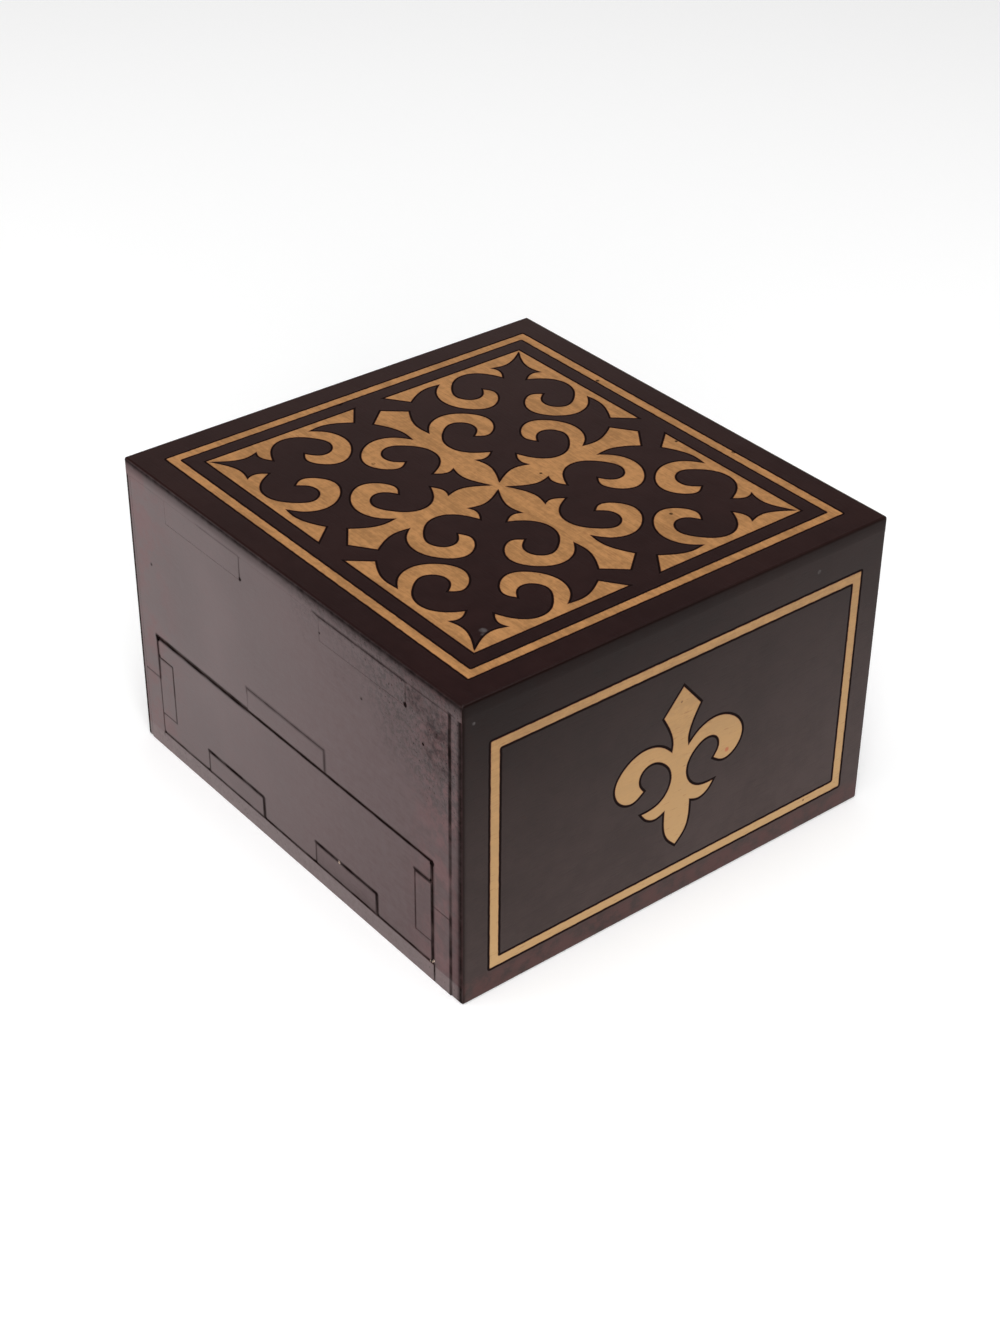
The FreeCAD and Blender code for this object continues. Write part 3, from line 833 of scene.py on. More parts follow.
# ------------------------------------------------------------------ fleur-de-lis
@dataclass(frozen=True)
class Flower:
    """Half of a fleur-de-lis as (across, along) from its petal tip.

    Each stretch is a smooth curve from one sharp corner to the next: the stem's edge, its
    neck, the outside and the inside of the scroll, the barb below it, and the petal.
    """

    stem: tuple[tuple[float, float], ...]
    neck: tuple[tuple[float, float], ...]
    scroll_outside: tuple[tuple[float, float], ...]
    scroll_inside: tuple[tuple[float, float], ...]
    barb: tuple[tuple[float, float], ...]
    petal: tuple[tuple[float, float], ...]

    def half(self, scale: tuple[float, float], step: float, end: tuple[float, float]) -> np.ndarray:
        """The half outline from stem tip to petal end, at its real size.

        Args:
            scale: millimetres for one share across and along.
            step: the spacing of the points in millimetres.
            end: where the petal ends, in shares.

        Returns:
            (n, 2) points in millimetres.
        """
        stretches = [self.stem, self.neck, self.scroll_outside, self.scroll_inside, self.barb,
                     self.petal + (end,)]
        curves = [smooth_curve(np.array(stretch) * scale, step)[:-1] for stretch in stretches]
        return np.concatenate(curves + [np.array([end]) * scale])


TOP_FLOWER = Flower(
    stem=((0.0, 0.907), (0.113, 0.818)),
    neck=((0.113, 0.818), (0.074, 0.752), (0.047, 0.665), (0.053, 0.588)),
    scroll_outside=((0.053, 0.588), (0.105, 0.649), (0.210, 0.686), (0.315, 0.648), (0.388, 0.530),
                    (0.345, 0.438), (0.270, 0.405), (0.217, 0.435)),
    scroll_inside=((0.217, 0.435), (0.274, 0.489), (0.277, 0.541), (0.210, 0.596), (0.118, 0.556),
                   (0.053, 0.468), (0.052, 0.390), (0.105, 0.315), (0.183, 0.270)),
    barb=((0.183, 0.270), (0.142, 0.243), (0.100, 0.238), (0.072, 0.250)),
    petal=((0.072, 0.250), (0.087, 0.178), (0.062, 0.090)),
)
SIDE_FLOWER = Flower(
    stem=((0.0, 1.0), (0.126, 0.850)),
    neck=((0.126, 0.850), (0.0735, 0.747), (0.053, 0.657), (0.057, 0.619)),
    scroll_outside=((0.057, 0.619), (0.118, 0.675), (0.235, 0.711), (0.353, 0.672), (0.435, 0.551),
                    (0.394, 0.445), (0.309, 0.411), (0.235, 0.453)),
    scroll_inside=((0.235, 0.453), (0.269, 0.513), (0.253, 0.576), (0.197, 0.603), (0.115, 0.572),
                   (0.056, 0.483), (0.068, 0.392), (0.129, 0.328), (0.250, 0.309)),
    barb=((0.250, 0.309), (0.212, 0.260), (0.150, 0.234), (0.088, 0.253)),
    petal=((0.088, 0.253), (0.088, 0.175), (0.065, 0.075)),
)
OUTLINE_STEP = 0.4       # mm between the points of a flower's edge


def whole_flower(flower: Flower, tall: float, foot: Sequence[float]) -> np.ndarray:
    """One complete flower.

    Args:
        flower: its shape.
        tall: its height in millimetres.
        foot: where its petal tip lies.

    Returns:
        (n, 2) points, anticlockwise.
    """
    half = flower.half((tall, tall), OUTLINE_STEP, (0.0, 0.0))
    other = half[-2:0:-1] * (-1.0, 1.0)
    return anticlockwise(distinct(np.concatenate([half, other]))) + np.array(foot)


def flower_cross(flower: Flower, field_half: np.ndarray, bridge: float) -> np.ndarray:
    """Four flowers that share their petal tips in the middle of a field.

    Args:
        flower: their shape, in shares of the field's half sides.
        field_half: half of the field's width and depth.
        bridge: where two petals join, from the middle.

    Returns:
        (n, 2) points, anticlockwise.
    """
    end = bridge / field_half[0]
    arm = flower.half((1.0, 1.0), OUTLINE_STEP / field_half[0], (end, end))
    mirrored = arm[:0:-1] * (-1.0, 1.0)
    arm = np.concatenate([mirrored, arm[:-1]])
    turns = [np.stack([arm[:, 0] * c + arm[:, 1] * s, arm[:, 1] * c - arm[:, 0] * s], 1)
             for c, s in ((1, 0), (0, 1), (-1, 0), (0, -1))]
    return anticlockwise(distinct(np.concatenate(turns) * field_half))


def flower_corner(flower: Flower, field_half: np.ndarray, bridge: float,
                  side: tuple[int, int]) -> np.ndarray:
    """Two half flowers along the edges of one corner of the field, joined at its tip.

    Args:
        flower: their shape, in shares of the field's half sides.
        field_half: half of the field's width and depth.
        bridge: where the petals join, from the corner.
        side: the corner, as the signs of u and v.

    Returns:
        (n, 2) points, anticlockwise.
    """
    end = bridge / field_half[0]
    arm = flower.half((1.0, 1.0), OUTLINE_STEP / field_half[0], (end, end))
    along_u = 1.0 - arm[:, ::-1]
    along_v = 1.0 - arm[::-1]
    outline = np.concatenate([along_u, along_v[1:], [(1.0, 1.0)]])
    return anticlockwise(distinct(outline * field_half * side))


# ------------------------------------------------------------------ faces of the box
class Facing(Enum):
    """The face that an outline is drawn on: its u, v and outward w axes."""

    TOP = ((1, 0, 0), (0, 1, 0), (0, 0, 1))
    RIGHT = ((0, 1, 0), (0, 0, 1), (1, 0, 0))
    LEFT = ((0, -1, 0), (0, 0, 1), (-1, 0, 0))
    FRONT = ((1, 0, 0), (0, 0, 1), (0, -1, 0))
    BACK = ((-1, 0, 0), (0, 0, 1), (0, 1, 0))

    def lift(self, points: np.ndarray) -> np.ndarray:
        """(n, 3) points (u, v, w) on this face as x, y, z."""
        return points @ np.array(self.value, float)

    def flat(self, corners: np.ndarray) -> tuple[np.ndarray, np.ndarray]:
        """The low and high (u, v, w) of a box given by its low and high x, y, z."""
        turned = corners @ np.array(self.value, float).T
        return turned.min(0), turned.max(0)


def node_box(node: str) -> np.ndarray:
    """A node's low and high corners in millimetres."""
    return np.array(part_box(node)) / MM


TOP_FACE = node_box("top_cladding")[1, 2]
RIGHT_FACE = node_box("right_cladding")[1, 0]
FRONT_FACE = node_box("front_panel")[0, 1]
FLANKS = (0.24, 0.55)    # mm from an edge to the points that carry a joint's darkness
SEAM_STEP = 1.0          # mm between those points along the edge
FRONT_DEPTH = 0.3        # mm behind the front that joints still darken
MERGED = 0.002           # mm between points that are joined into one
ALONG_AXIS = 0.7         # part of a normal from which its face counts as looking that way


# ------------------------------------------------------------------ meshes
class Shell:
    """The points, faces and rim values of one closed piece, gathered before it is built."""

    def __init__(self, seams: Sequence[Seam] = ()) -> None:
        """Start with nothing but the joints that darken it."""
        self.seams = seams
        self.points: list[np.ndarray] = []
        self.char: list[np.ndarray] = []
        self.wear_and_shade: list[np.ndarray] = []
        self.faces: list[tuple[int, ...]] = []
        self.smooth: list[bool] = []
        self.count = 0

    def _add(self, points: np.ndarray, char: np.ndarray, wear_and_shade: np.ndarray) -> int:
        """Add points with their rim values and return the number of the first."""
        first = self.count
        self.points.append(points)
        self.char.append(char)
        self.wear_and_shade.append(wear_and_shade)
        self.count += len(points)
        return first

    def strip(self, outline: np.ndarray, profile: Sequence["Station"],
              inward: Callable[[np.ndarray, float], np.ndarray] = inset) -> None:
        """Carry a profile along a closed outline.

        Ring k is the outline moved inwards by the station's inset, at its height w.  Level
        and upright spans are shaded flat, and the round ones between them smoothly.

        Args:
            outline: (n, 2) points, anticlockwise.
            profile: the stations, from one cap to the other.
            inward: how the outline is moved inwards.
        """
        size = len(outline)
        rings = [np.column_stack([inward(outline, s.inset), np.full(size, s.height)]) for s in profile]
        first = self._add(np.concatenate(rings), np.repeat([s.char for s in profile], size),
                          np.repeat([s.wear_and_shade for s in profile], size))
        here = np.arange(size)
        ahead = (here + 1) % size
        base = first + np.arange(len(profile) - 1)[:, None] * size
        quads = np.stack([base + here, base + size + here, base + size + ahead, base + ahead], 2)
        self.faces.extend(map(tuple, quads.reshape(-1, 4).tolist()))
        for one, two in zip(profile, profile[1:]):
            straight = abs(one.inset - two.inset) < 1e-9 or abs(one.height - two.height) < 1e-9
            self.smooth.extend([not straight] * size)

    def region(self, outer: np.ndarray, holes: Sequence[np.ndarray], height: float,
               char: float = 0.0) -> None:
        """Fill the flat area between an outline and its holes with triangles.

        Args:
            outer: (n, 2) points.
            holes: the outlines left open.
            height: its w.
            char: the rim value of its points.
        """
        loops = [distinct(loop) for loop in (outer, *holes)]
        points = np.concatenate(loops)
        ends = np.cumsum([0] + [len(loop) for loop in loops])
        numbers = [np.arange(low, high) for low, high in zip(ends, ends[1:])]
        edges = np.concatenate([np.stack([run, np.roll(run, -1)], 1) for run in numbers])
        found, _, triangles, *_ = delaunay_2d_cdt(list(map(Vector, points.tolist())), edges.tolist(),
                                                  [], 0, 1e-6)
        flat = np.array(list(map(tuple, found)))
        corners = np.array(triangles)
        middle = flat[corners].mean(axis=1)
        kept = inside(middle, loops[0])
        for loop in loops[1:]:
            kept &= ~inside(middle, loop)
        first = self._add(np.column_stack([flat, np.full(len(flat), height)]),
                          np.full(len(flat), char), np.zeros(len(flat)))
        self.faces.extend(map(tuple, (first + corners[kept]).tolist()))
        self.smooth.extend([False] * int(kept.sum()))

    def build(self, name: str, facing: Facing) -> bpy.types.Object:
        """Write the piece into a mesh object, merged and with its faces outwards.

        Args:
            name: the object's name.
            facing: the face that its outlines were drawn on.

        Returns:
            The object, at the origin.
        """
        points = facing.lift(np.concatenate(self.points)) * MM
        mesh = bpy.data.meshes.new(name)
        mesh.from_pydata(points.tolist(), [], self.faces)
        mesh.polygons.foreach_set("use_smooth", self.smooth)
        at_front = points[:, 1] < (FRONT_FACE + FRONT_DEPTH) * MM
        seam = at_front * seam_darkness(self.seams, points[:, ::2] / MM) if self.seams else at_front * 0.0
        rims = {"char": np.concatenate(self.char), "wear_and_shade": np.concatenate(self.wear_and_shade), "seam": seam}
        for key, values in rims.items():
            mesh.attributes.new(key, "FLOAT", "POINT").data.foreach_set("value", values)
        work = bmesh.new()
        work.from_mesh(mesh)
        bmesh.ops.remove_doubles(work, verts=work.verts, dist=MERGED * MM)
        bmesh.ops.recalc_face_normals(work, faces=work.faces)
        work.to_mesh(mesh)
        work.free()
        piece = bpy.data.objects.new(name, mesh)
        bpy.context.scene.collection.objects.link(piece)
        return piece


@dataclass(frozen=True)
class Station:
    """One place of a profile: how far inside the outline, how high, and its rim values."""

    inset: float
    height: float
    char: float = 0.0
    wear_and_shade: float = 0.0


def rounded_rim(top: float, radius: float, wear_and_shade: float, steps: int = 4) -> list[Station]:
    """A quarter circle from the flat face down to the side.

    At the angle a it lies r (1 - sin a) inside the outline and r (1 - cos a) below the face,
    and its darkening, worn burnt wood and painted shade, grows from nothing on the face with the sine of a.

    Args:
        top: the height of the flat face.
        radius: the circle's radius.
        wear_and_shade: how dark its outer end is, from worn wood and painted shade.
        steps: its spans.

    Returns:
        The stations, from the face outwards.
    """
    angles = np.linspace(0.0, math.pi / 2, steps + 1)
    return [Station(radius * (1 - math.sin(a)), top - radius * (1 - math.cos(a)),
                    wear_and_shade=wear_and_shade * math.sin(a)) for a in angles]


@dataclass
class Plate:
    """A flat sheet with rounded edges and slots through it.

    Where joints darken it, more rings of points stand beside its edges to carry them.
    """

    node: str
    facing: Facing
    outline: np.ndarray
    face: float
    thickness: float
    rim: float = 0.2
    back_rim: float = 0.1
    wear_and_shade: float = 0.0
    slots: list[np.ndarray] = field(default_factory=list)
    soften: float = 0.05
    seams: tuple[Seam, ...] = ()

    @property
    def back(self) -> float:
        """The height of the inner face."""
        return self.face - self.thickness

    def rounded_outline(self) -> np.ndarray:
        """The outline with its corners rounded, and points for the joints."""
        outline = anticlockwise(self.outline)
        if not self.seams:
            return softened(outline, self.soften)
        return resampled(softened(outline, self.soften, flanks=FLANKS), SEAM_STEP)

    def edge_profile(self) -> list[Station]:
        """The stations from the outer face round the edge to the inner face."""
        down = rounded_rim(self.face, self.rim, self.wear_and_shade)
        up = [Station(self.back_rim * (1 - math.sin(a)), self.back + self.back_rim * (1 - math.cos(a)))
              for a in np.linspace(math.pi / 2, 0.0, 3)]
        if not self.seams:
            return down + up
        near, far = FLANKS
        return ([Station(self.rim + far, self.face), Station(self.rim + near, self.face)] + down
                + [Station(0.0, self.face - self.rim - near), Station(0.0, self.face - self.rim - far),
                   Station(0.0, self.back + self.back_rim + far),
                   Station(0.0, self.back + self.back_rim + near)] + up)

    def build(self) -> bpy.types.Object:
        """The plate as a mesh object."""
        shell = Shell(self.seams)
        outline = self.rounded_outline()
        profile = self.edge_profile()
        shell.strip(outline, profile)
        small = self.rim
        slots = [anticlockwise(slot) for slot in self.slots]
        for slot in slots:
            shell.strip(slot, [Station(-small, self.face), Station(0.0, self.face - small, 0.6),
                               Station(0.0, self.back + small, 0.6), Station(-small, self.back)])
        holes = [inset(slot, -small) for slot in slots]
        shell.region(inset(outline, profile[0].inset), holes, self.face)
        shell.region(inset(outline, profile[-1].inset), holes, self.back)
        return shell.build(f"{self.node}_finished", self.facing)


@dataclass
class Inlay:
    """A thin inlay with a scorched rim, set in its pocket with a hair of a gap."""

    node: str
    facing: Facing
    outline: np.ndarray
    face: float
    depth: float = 0.9
    gap: float = 0.05
    lip: float = 0.05
    scorch: float = 0.16
    hole: np.ndarray | None = None

    def _profile(self, side: float) -> list[Station]:
        """The stations of one rim; side is 1 for the outer rim and -1 for a hole's."""
        return [Station(side * (self.gap + self.lip + self.scorch), self.face, 0.0),
                Station(side * (self.gap + self.lip), self.face, 0.75),
                Station(side * self.gap, self.face - self.lip, 1.0),
                Station(side * self.gap, self.face - self.depth, 1.0)]

    def build(self) -> bpy.types.Object:
        """The inlay as a mesh object."""
        shell = Shell()
        rims = [(anticlockwise(self.outline), self._profile(1.0))]
        if self.hole is not None:
            rims.append((anticlockwise(self.hole), self._profile(-1.0)))
        for outline, profile in rims:
            shell.strip(outline, profile)
        for end, height, char in ((0, self.face, 0.0), (-1, self.face - self.depth, 1.0)):
            outer, *holes = [inset(outline, profile[end].inset) for outline, profile in rims]
            shell.region(outer, holes, height, char)
        return shell.build(f"{self.node}_finished", self.facing)


def settle(piece: bpy.types.Object, node: str, body: str, material: bpy.types.Material,
           edges: dict[int, bpy.types.Material] | None = None) -> None:
    """Dress a computed piece, let it replace its node and ride on its body.

    Args:
        piece: the new object.
        node: the node that it stands for.
        body: the body that it moves with.
        material: its finish.
        edges: other finishes, for the faces that look mainly along the axis 0 or 1.
    """
    mesh = piece.data
    mesh.materials.append(material)
    normals = np.empty(len(mesh.polygons) * 3)
    mesh.polygons.foreach_get("normal", normals)
    kind = np.zeros(len(mesh.polygons), int)
    for number, (axis, finish) in enumerate((edges or {}).items(), 1):
        mesh.materials.append(finish)
        kind[np.abs(normals.reshape(-1, 3)[:, axis]) > ALONG_AXIS] = number
    mesh.polygons.foreach_set("material_index", kind)
    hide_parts(node)
    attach(piece, body)
    log.info("%s: %d faces, finish %s", piece.name, len(piece.data.polygons), material.name)


# ------------------------------------------------------------------ sizes shared by the pieces
@dataclass(frozen=True)
class Sizes:
    """Joint and ornament sizes in millimetres; overall sizes come from the frame."""

    sheet: float = 4.8
    joint_gap: float = 0.02
    carcass_tab: float = 24.0
    ceiling_tab_offset: float = 24.0
    wall_finger: float = 16.5
    drawer_side_tab: float = 12.9
    drawer_base_tab: float = 18.3
    drawer_tab_offset: float = 17.45
    catch_hole: float = 2.0
    pin_inset: float = 3.9
    notch_wide: float = 10.0
    notch_long: float = 9.0
    edge_round: float = 0.5
    ring_wide: float = 2.05
    top_margin: float = 5.4
    top_band: float = 3.2
    side_margin: float = 5.45
    side_foot: float = 5.0
    side_head: float = 5.9
    side_shift: float = 0.2
    fleur_foot: float = 4.5
    fleur_head: float = 4.9
    centre_bridge: float = 1.05
    corner_bridge: float = 0.7
    ring_corner: float = 0.35
    front_rim: float = 0.06


def marks_on(axis: int, level: float, *marks: tuple[float, float, float]) -> tuple[Mark, ...]:
    """Marks (u, v, radius) on the face that lies across an axis, as (x, y, z, radius)."""
    return tuple((*mark[:axis], level, *mark[axis:]) for mark in marks)


# Soft darker patches in the upper right of the front.
FRONT_DARK_PATCHES = marks_on(1, FRONT_FACE, (43.8, 49.0, 6.0), (43.6, 54.5, 4.5), (38.0, 56.5, 3.5))
FRONT_CHIPS = marks_on(1, FRONT_FACE, (14.6, 8.5, 0.42), (42.1, 4.6, 0.35), (41.7, 4.15, 0.35),
                       (41.2, 3.95, 0.3))
FRONT_DENTS = marks_on(1, FRONT_FACE, (-12.6, 53.9, 0.5), (35.1, 53.9, 0.7), (-43.3, 42.0, 0.5),
                       (22.9, 48.4, 0.5), (39.8, 48.7, 0.4), (11.3, 55.2, 0.35), (-43.3, 25.6, 0.7),
                       (41.9, 25.6, 0.7))
TOP_SCUFFS = marks_on(2, TOP_FACE, (35.0, -31.2, 0.9), (35.9, -31.9, 0.5))
TOP_DENTS = marks_on(2, TOP_FACE, (-42.6, -4.6, 0.9))
TOP_WOOD_DENTS = marks_on(2, TOP_FACE, (-20.2, -12.9, 0.5), (26.1, 17.7, 0.45), (1.1, 8.8, 0.4),
                          (16.7, 41.5, 0.6), (-20.0, 40.2, 0.5), (7.2, 36.0, 0.4))
SIDE_SCUFFS = marks_on(0, RIGHT_FACE, (30.9, 56.3, 0.55), (-44.8, 57.5, 0.4))
SIDE_STAINS = marks_on(0, RIGHT_FACE, (11.5, 27.2, 0.6))
LONG_X, LONG_Y = (0.12, 1.0, 1.0), (1.0, 0.12, 1.0)    # how wood grain is stretched
CLADDING_EDGE = 48.3     # x of the darkened middle of the side cladding's front edge
HALF_GAP = 0.2           # half of the gap round the drawer


@dataclass
class Finishes:
    """One material for each kind of surface."""

    top: bpy.types.Material
    side: bpy.types.Material
    front: bpy.types.Material
    inside: bpy.types.Material
    tray: bpy.types.Material
    top_inlay: bpy.types.Material
    side_inlay: bpy.types.Material
    steel: bpy.types.Material

    @classmethod
    def mixed(cls) -> "Finishes":
        """All finishes, ready to use."""
        return cls(
            # Painted reflection: the top turns lighter towards the back left.
            top=Lacquer("top_lacquer", (0.0117, 0.0028, 0.0027), (0.0161, 0.0039, 0.0036), LONG_X,
                        gloss=0.23, painted_fade=PaintedFade((-1.0, 0.8, 0.0), -85.0, 85.0, (0.0265, 0.0108, 0.0090)),
                        pale_marks=TOP_SCUFFS, dark_marks=TOP_DENTS).material(),
            # Painted bounce light: the sides turn lighter towards the foot, as if lit from the floor.
            side=Lacquer("side_lacquer", (0.0052, 0.0009, 0.0003), (0.0074, 0.0013, 0.0005), LONG_Y,
                         roughness=0.42, gloss=0.12,
                         painted_fade=PaintedFade((0.0, 0.2, -1.0), -66.0, 9.0, (0.0547, 0.036, 0.0333)),
                         dust=0.03, corner=0.4, foot=0.6, pale_marks=SIDE_SCUFFS).material(),
            # Painted sheen and shade: the front's light grey tone is partly painted sheen, and it turns
            # darker towards the right.
            front=BrushedPaint("front_paint", (0.0745, 0.0465, 0.0465), (0.0965, 0.0605, 0.0605), LONG_X,
                               PaintedFade((1.0, 0.0, 0.0), -22.0, 38.0, (0.047, 0.0175, 0.018)),
                               shades=FRONT_DARK_PATCHES, chips=FRONT_CHIPS,
                               dark_marks=FRONT_DENTS).material(),
            inside=Lacquer("inside_stain", (0.026, 0.013, 0.009), (0.06, 0.031, 0.021),
                           (0.1, 1.0, 1.0), roughness=0.55, peel=0.03, dust=0.02).material(),
            tray=Lacquer("tray_stain", (0.021, 0.0105, 0.0075), (0.046, 0.024, 0.0165),
                         (1.0, 0.1, 1.0), roughness=0.6, peel=0.03, dust=0.02).material(),
            top_inlay=InlayWood("top_inlay_wood", (0.452, 0.219, 0.081), (0.292, 0.141, 0.050), LONG_X,
                                dark_marks=TOP_WOOD_DENTS).material(),
            # Painted bounce light: the side inlays turn lighter towards the foot, as if lit from the floor.
            side_inlay=InlayWood("side_inlay_wood", (0.352, 0.191, 0.072), (0.252, 0.135, 0.051), LONG_Y,
                                 gloss=0.2, painted_fade=PaintedFade((0.0, 0.0, -1.0), -57.0, 0.0, (0.448, 0.272, 0.118)),
                                 red_marks=SIDE_STAINS).material(),
            steel=DullSteel().material(),
        )


# ------------------------------------------------------------------ casing
def level_seams(height: float, *runs: tuple[float, float, float, float]) -> list[Seam]:
    """Level joints at one height, from runs of (low x, high x, dark, width)."""
    return [Seam((low, height), (high, height), dark, width) for low, high, dark, width in runs]


def upright_seams(place: float, *runs: tuple[float, float, float, float]) -> list[Seam]:
    """Upright joints at one x, from runs of (high z, low z, dark, width)."""
    return [Seam((place, high), (place, low), dark, width) for high, low, dark, width in runs]


def drawer_seams(sizes: Sizes) -> list[Seam]:
    """The gap round the drawer's front, and its own joints.

    Args:
        sizes: the joint sizes.

    Returns:
        The seams in (x, z).
    """
    s = sizes
    low, high = node_box("drawer_front")
    left, right, foot, top = low[0], high[0], low[2], high[2]
    middle, gap = (left + right) / 2, top + HALF_GAP
    seams = (level_seams(gap, (left, -13.0, 1.0, 1.1), (-13.0, right, 1.0, 0.7))
             + level_seams(foot, (left, middle - 8.0, 0.9, 0.85), (middle - 8.0, right, 1.0, 1.14))
             + upright_seams(left, (gap, s.wall_finger, 0.85, 0.75), (s.wall_finger, foot, 0.42, 0.4))
             + upright_seams(right, (gap, foot, 1.0, 0.88))
             + upright_seams(right + HALF_GAP, (foot, 0.0, 1.0, 0.9)))
    for side, gaps in ((-1, ()), (1, (14.2, 15.0))):
        start = middle + side * s.drawer_tab_offset - s.drawer_base_tab / 2
        end = start + s.drawer_base_tab
        stops = (start, *gaps, end)
        runs = [(a, b, 1.0, 0.8) for a, b in zip(stops[::2], stops[1::2])]
        seams += level_seams(foot + s.sheet + 0.1, *runs)
        seams += upright_seams(start, (foot + s.sheet, foot, 0.7, 0.5))
        seams += upright_seams(end, (foot + s.sheet, foot, 1.0, 0.85))
    tab_low, tab_high = foot + s.sheet, foot + s.sheet + s.drawer_side_tab
    tab_middle, left_inner, right_inner = (tab_low + tab_high) / 2, left + s.sheet, right - s.sheet
    seams += upright_seams(left_inner, (tab_high, tab_middle, 0.75, 0.5), (tab_middle, tab_low, 0.6, 0.45))
    seams += upright_seams(right_inner, (tab_high, tab_low, 0.65, 0.45))
    seams += level_seams(tab_high, (left, left_inner, 0.75, 0.55), (right_inner, right, 1.0, 0.8))
    return seams + level_seams(tab_low, (left, left_inner, 0.4, 0.4), (right_inner, right, 0.4, 0.4))


def carcass_seams(sizes: Sizes) -> list[Seam]:
    """The joints of the front panel with the walls, the shelves and the side cladding.

    Args:
        sizes: the joint sizes.

    Returns:
        The seams in (x, z).
    """
    s = sizes
    low, high = node_box("front_panel")
    divider_low, divider_high = node_box("divider")[:, 2]
    roof = node_box("ceiling_panel")[0, 2]
    left, right, head = low[0], high[0], high[2]
    middle, tab = (left + right) / 2, s.carcass_tab / 2
    left_tab, right_tab = middle - s.ceiling_tab_offset, middle + s.ceiling_tab_offset
    return (upright_seams(right, (head, 50.0, 1.0, 0.85), (50.0, 42.0, 1.0, 0.7),
                          (42.0, 34.0, 0.9, 0.85), (34.0, 26.0, 0.75, 0.75),
                          (26.0, 17.0, 0.65, 0.65), (17.0, 0.0, 0.9, 0.75))
            + upright_seams(CLADDING_EDGE, (36.0, 24.0, 0.14, 2.0), (24.0, 0.6, 0.28, 2.0))
            + level_seams(s.wall_finger, (right - s.sheet, right, 0.35, 0.4),
                          (left, left + s.sheet, 0.4, 0.5))
            + level_seams(divider_high, (middle - tab, middle + tab, 0.65, 0.65))
            + upright_seams(middle + tab, (divider_high, divider_low, 0.65, 0.7))
            + upright_seams(middle - tab, (divider_high, divider_high - 1.0, 0.5, 0.5))
            + level_seams(head, (-26.0, -12.5, 0.28, 0.4), (10.0, 35.4, 0.85, 0.5),
                          (36.0, right, 0.5, 0.4))
            + upright_seams(left_tab + tab, (head, roof + 1.5, 0.4, 0.4), (roof + 0.4, roof, 0.9, 0.5))
            + upright_seams(right_tab - tab, ((head + roof) / 2, roof, 0.15, 0.4))
            + upright_seams(right_tab + tab, (head, roof + 1.0, 0.15, 0.4), (roof + 0.3, roof, 0.9, 0.55)))


@cache
def front_seams(sizes: Sizes) -> tuple[Seam, ...]:
    """The joints that show on the front, from the drawer's wide gaps to painted-over tabs."""
    return tuple(drawer_seams(sizes) + carcass_seams(sizes))


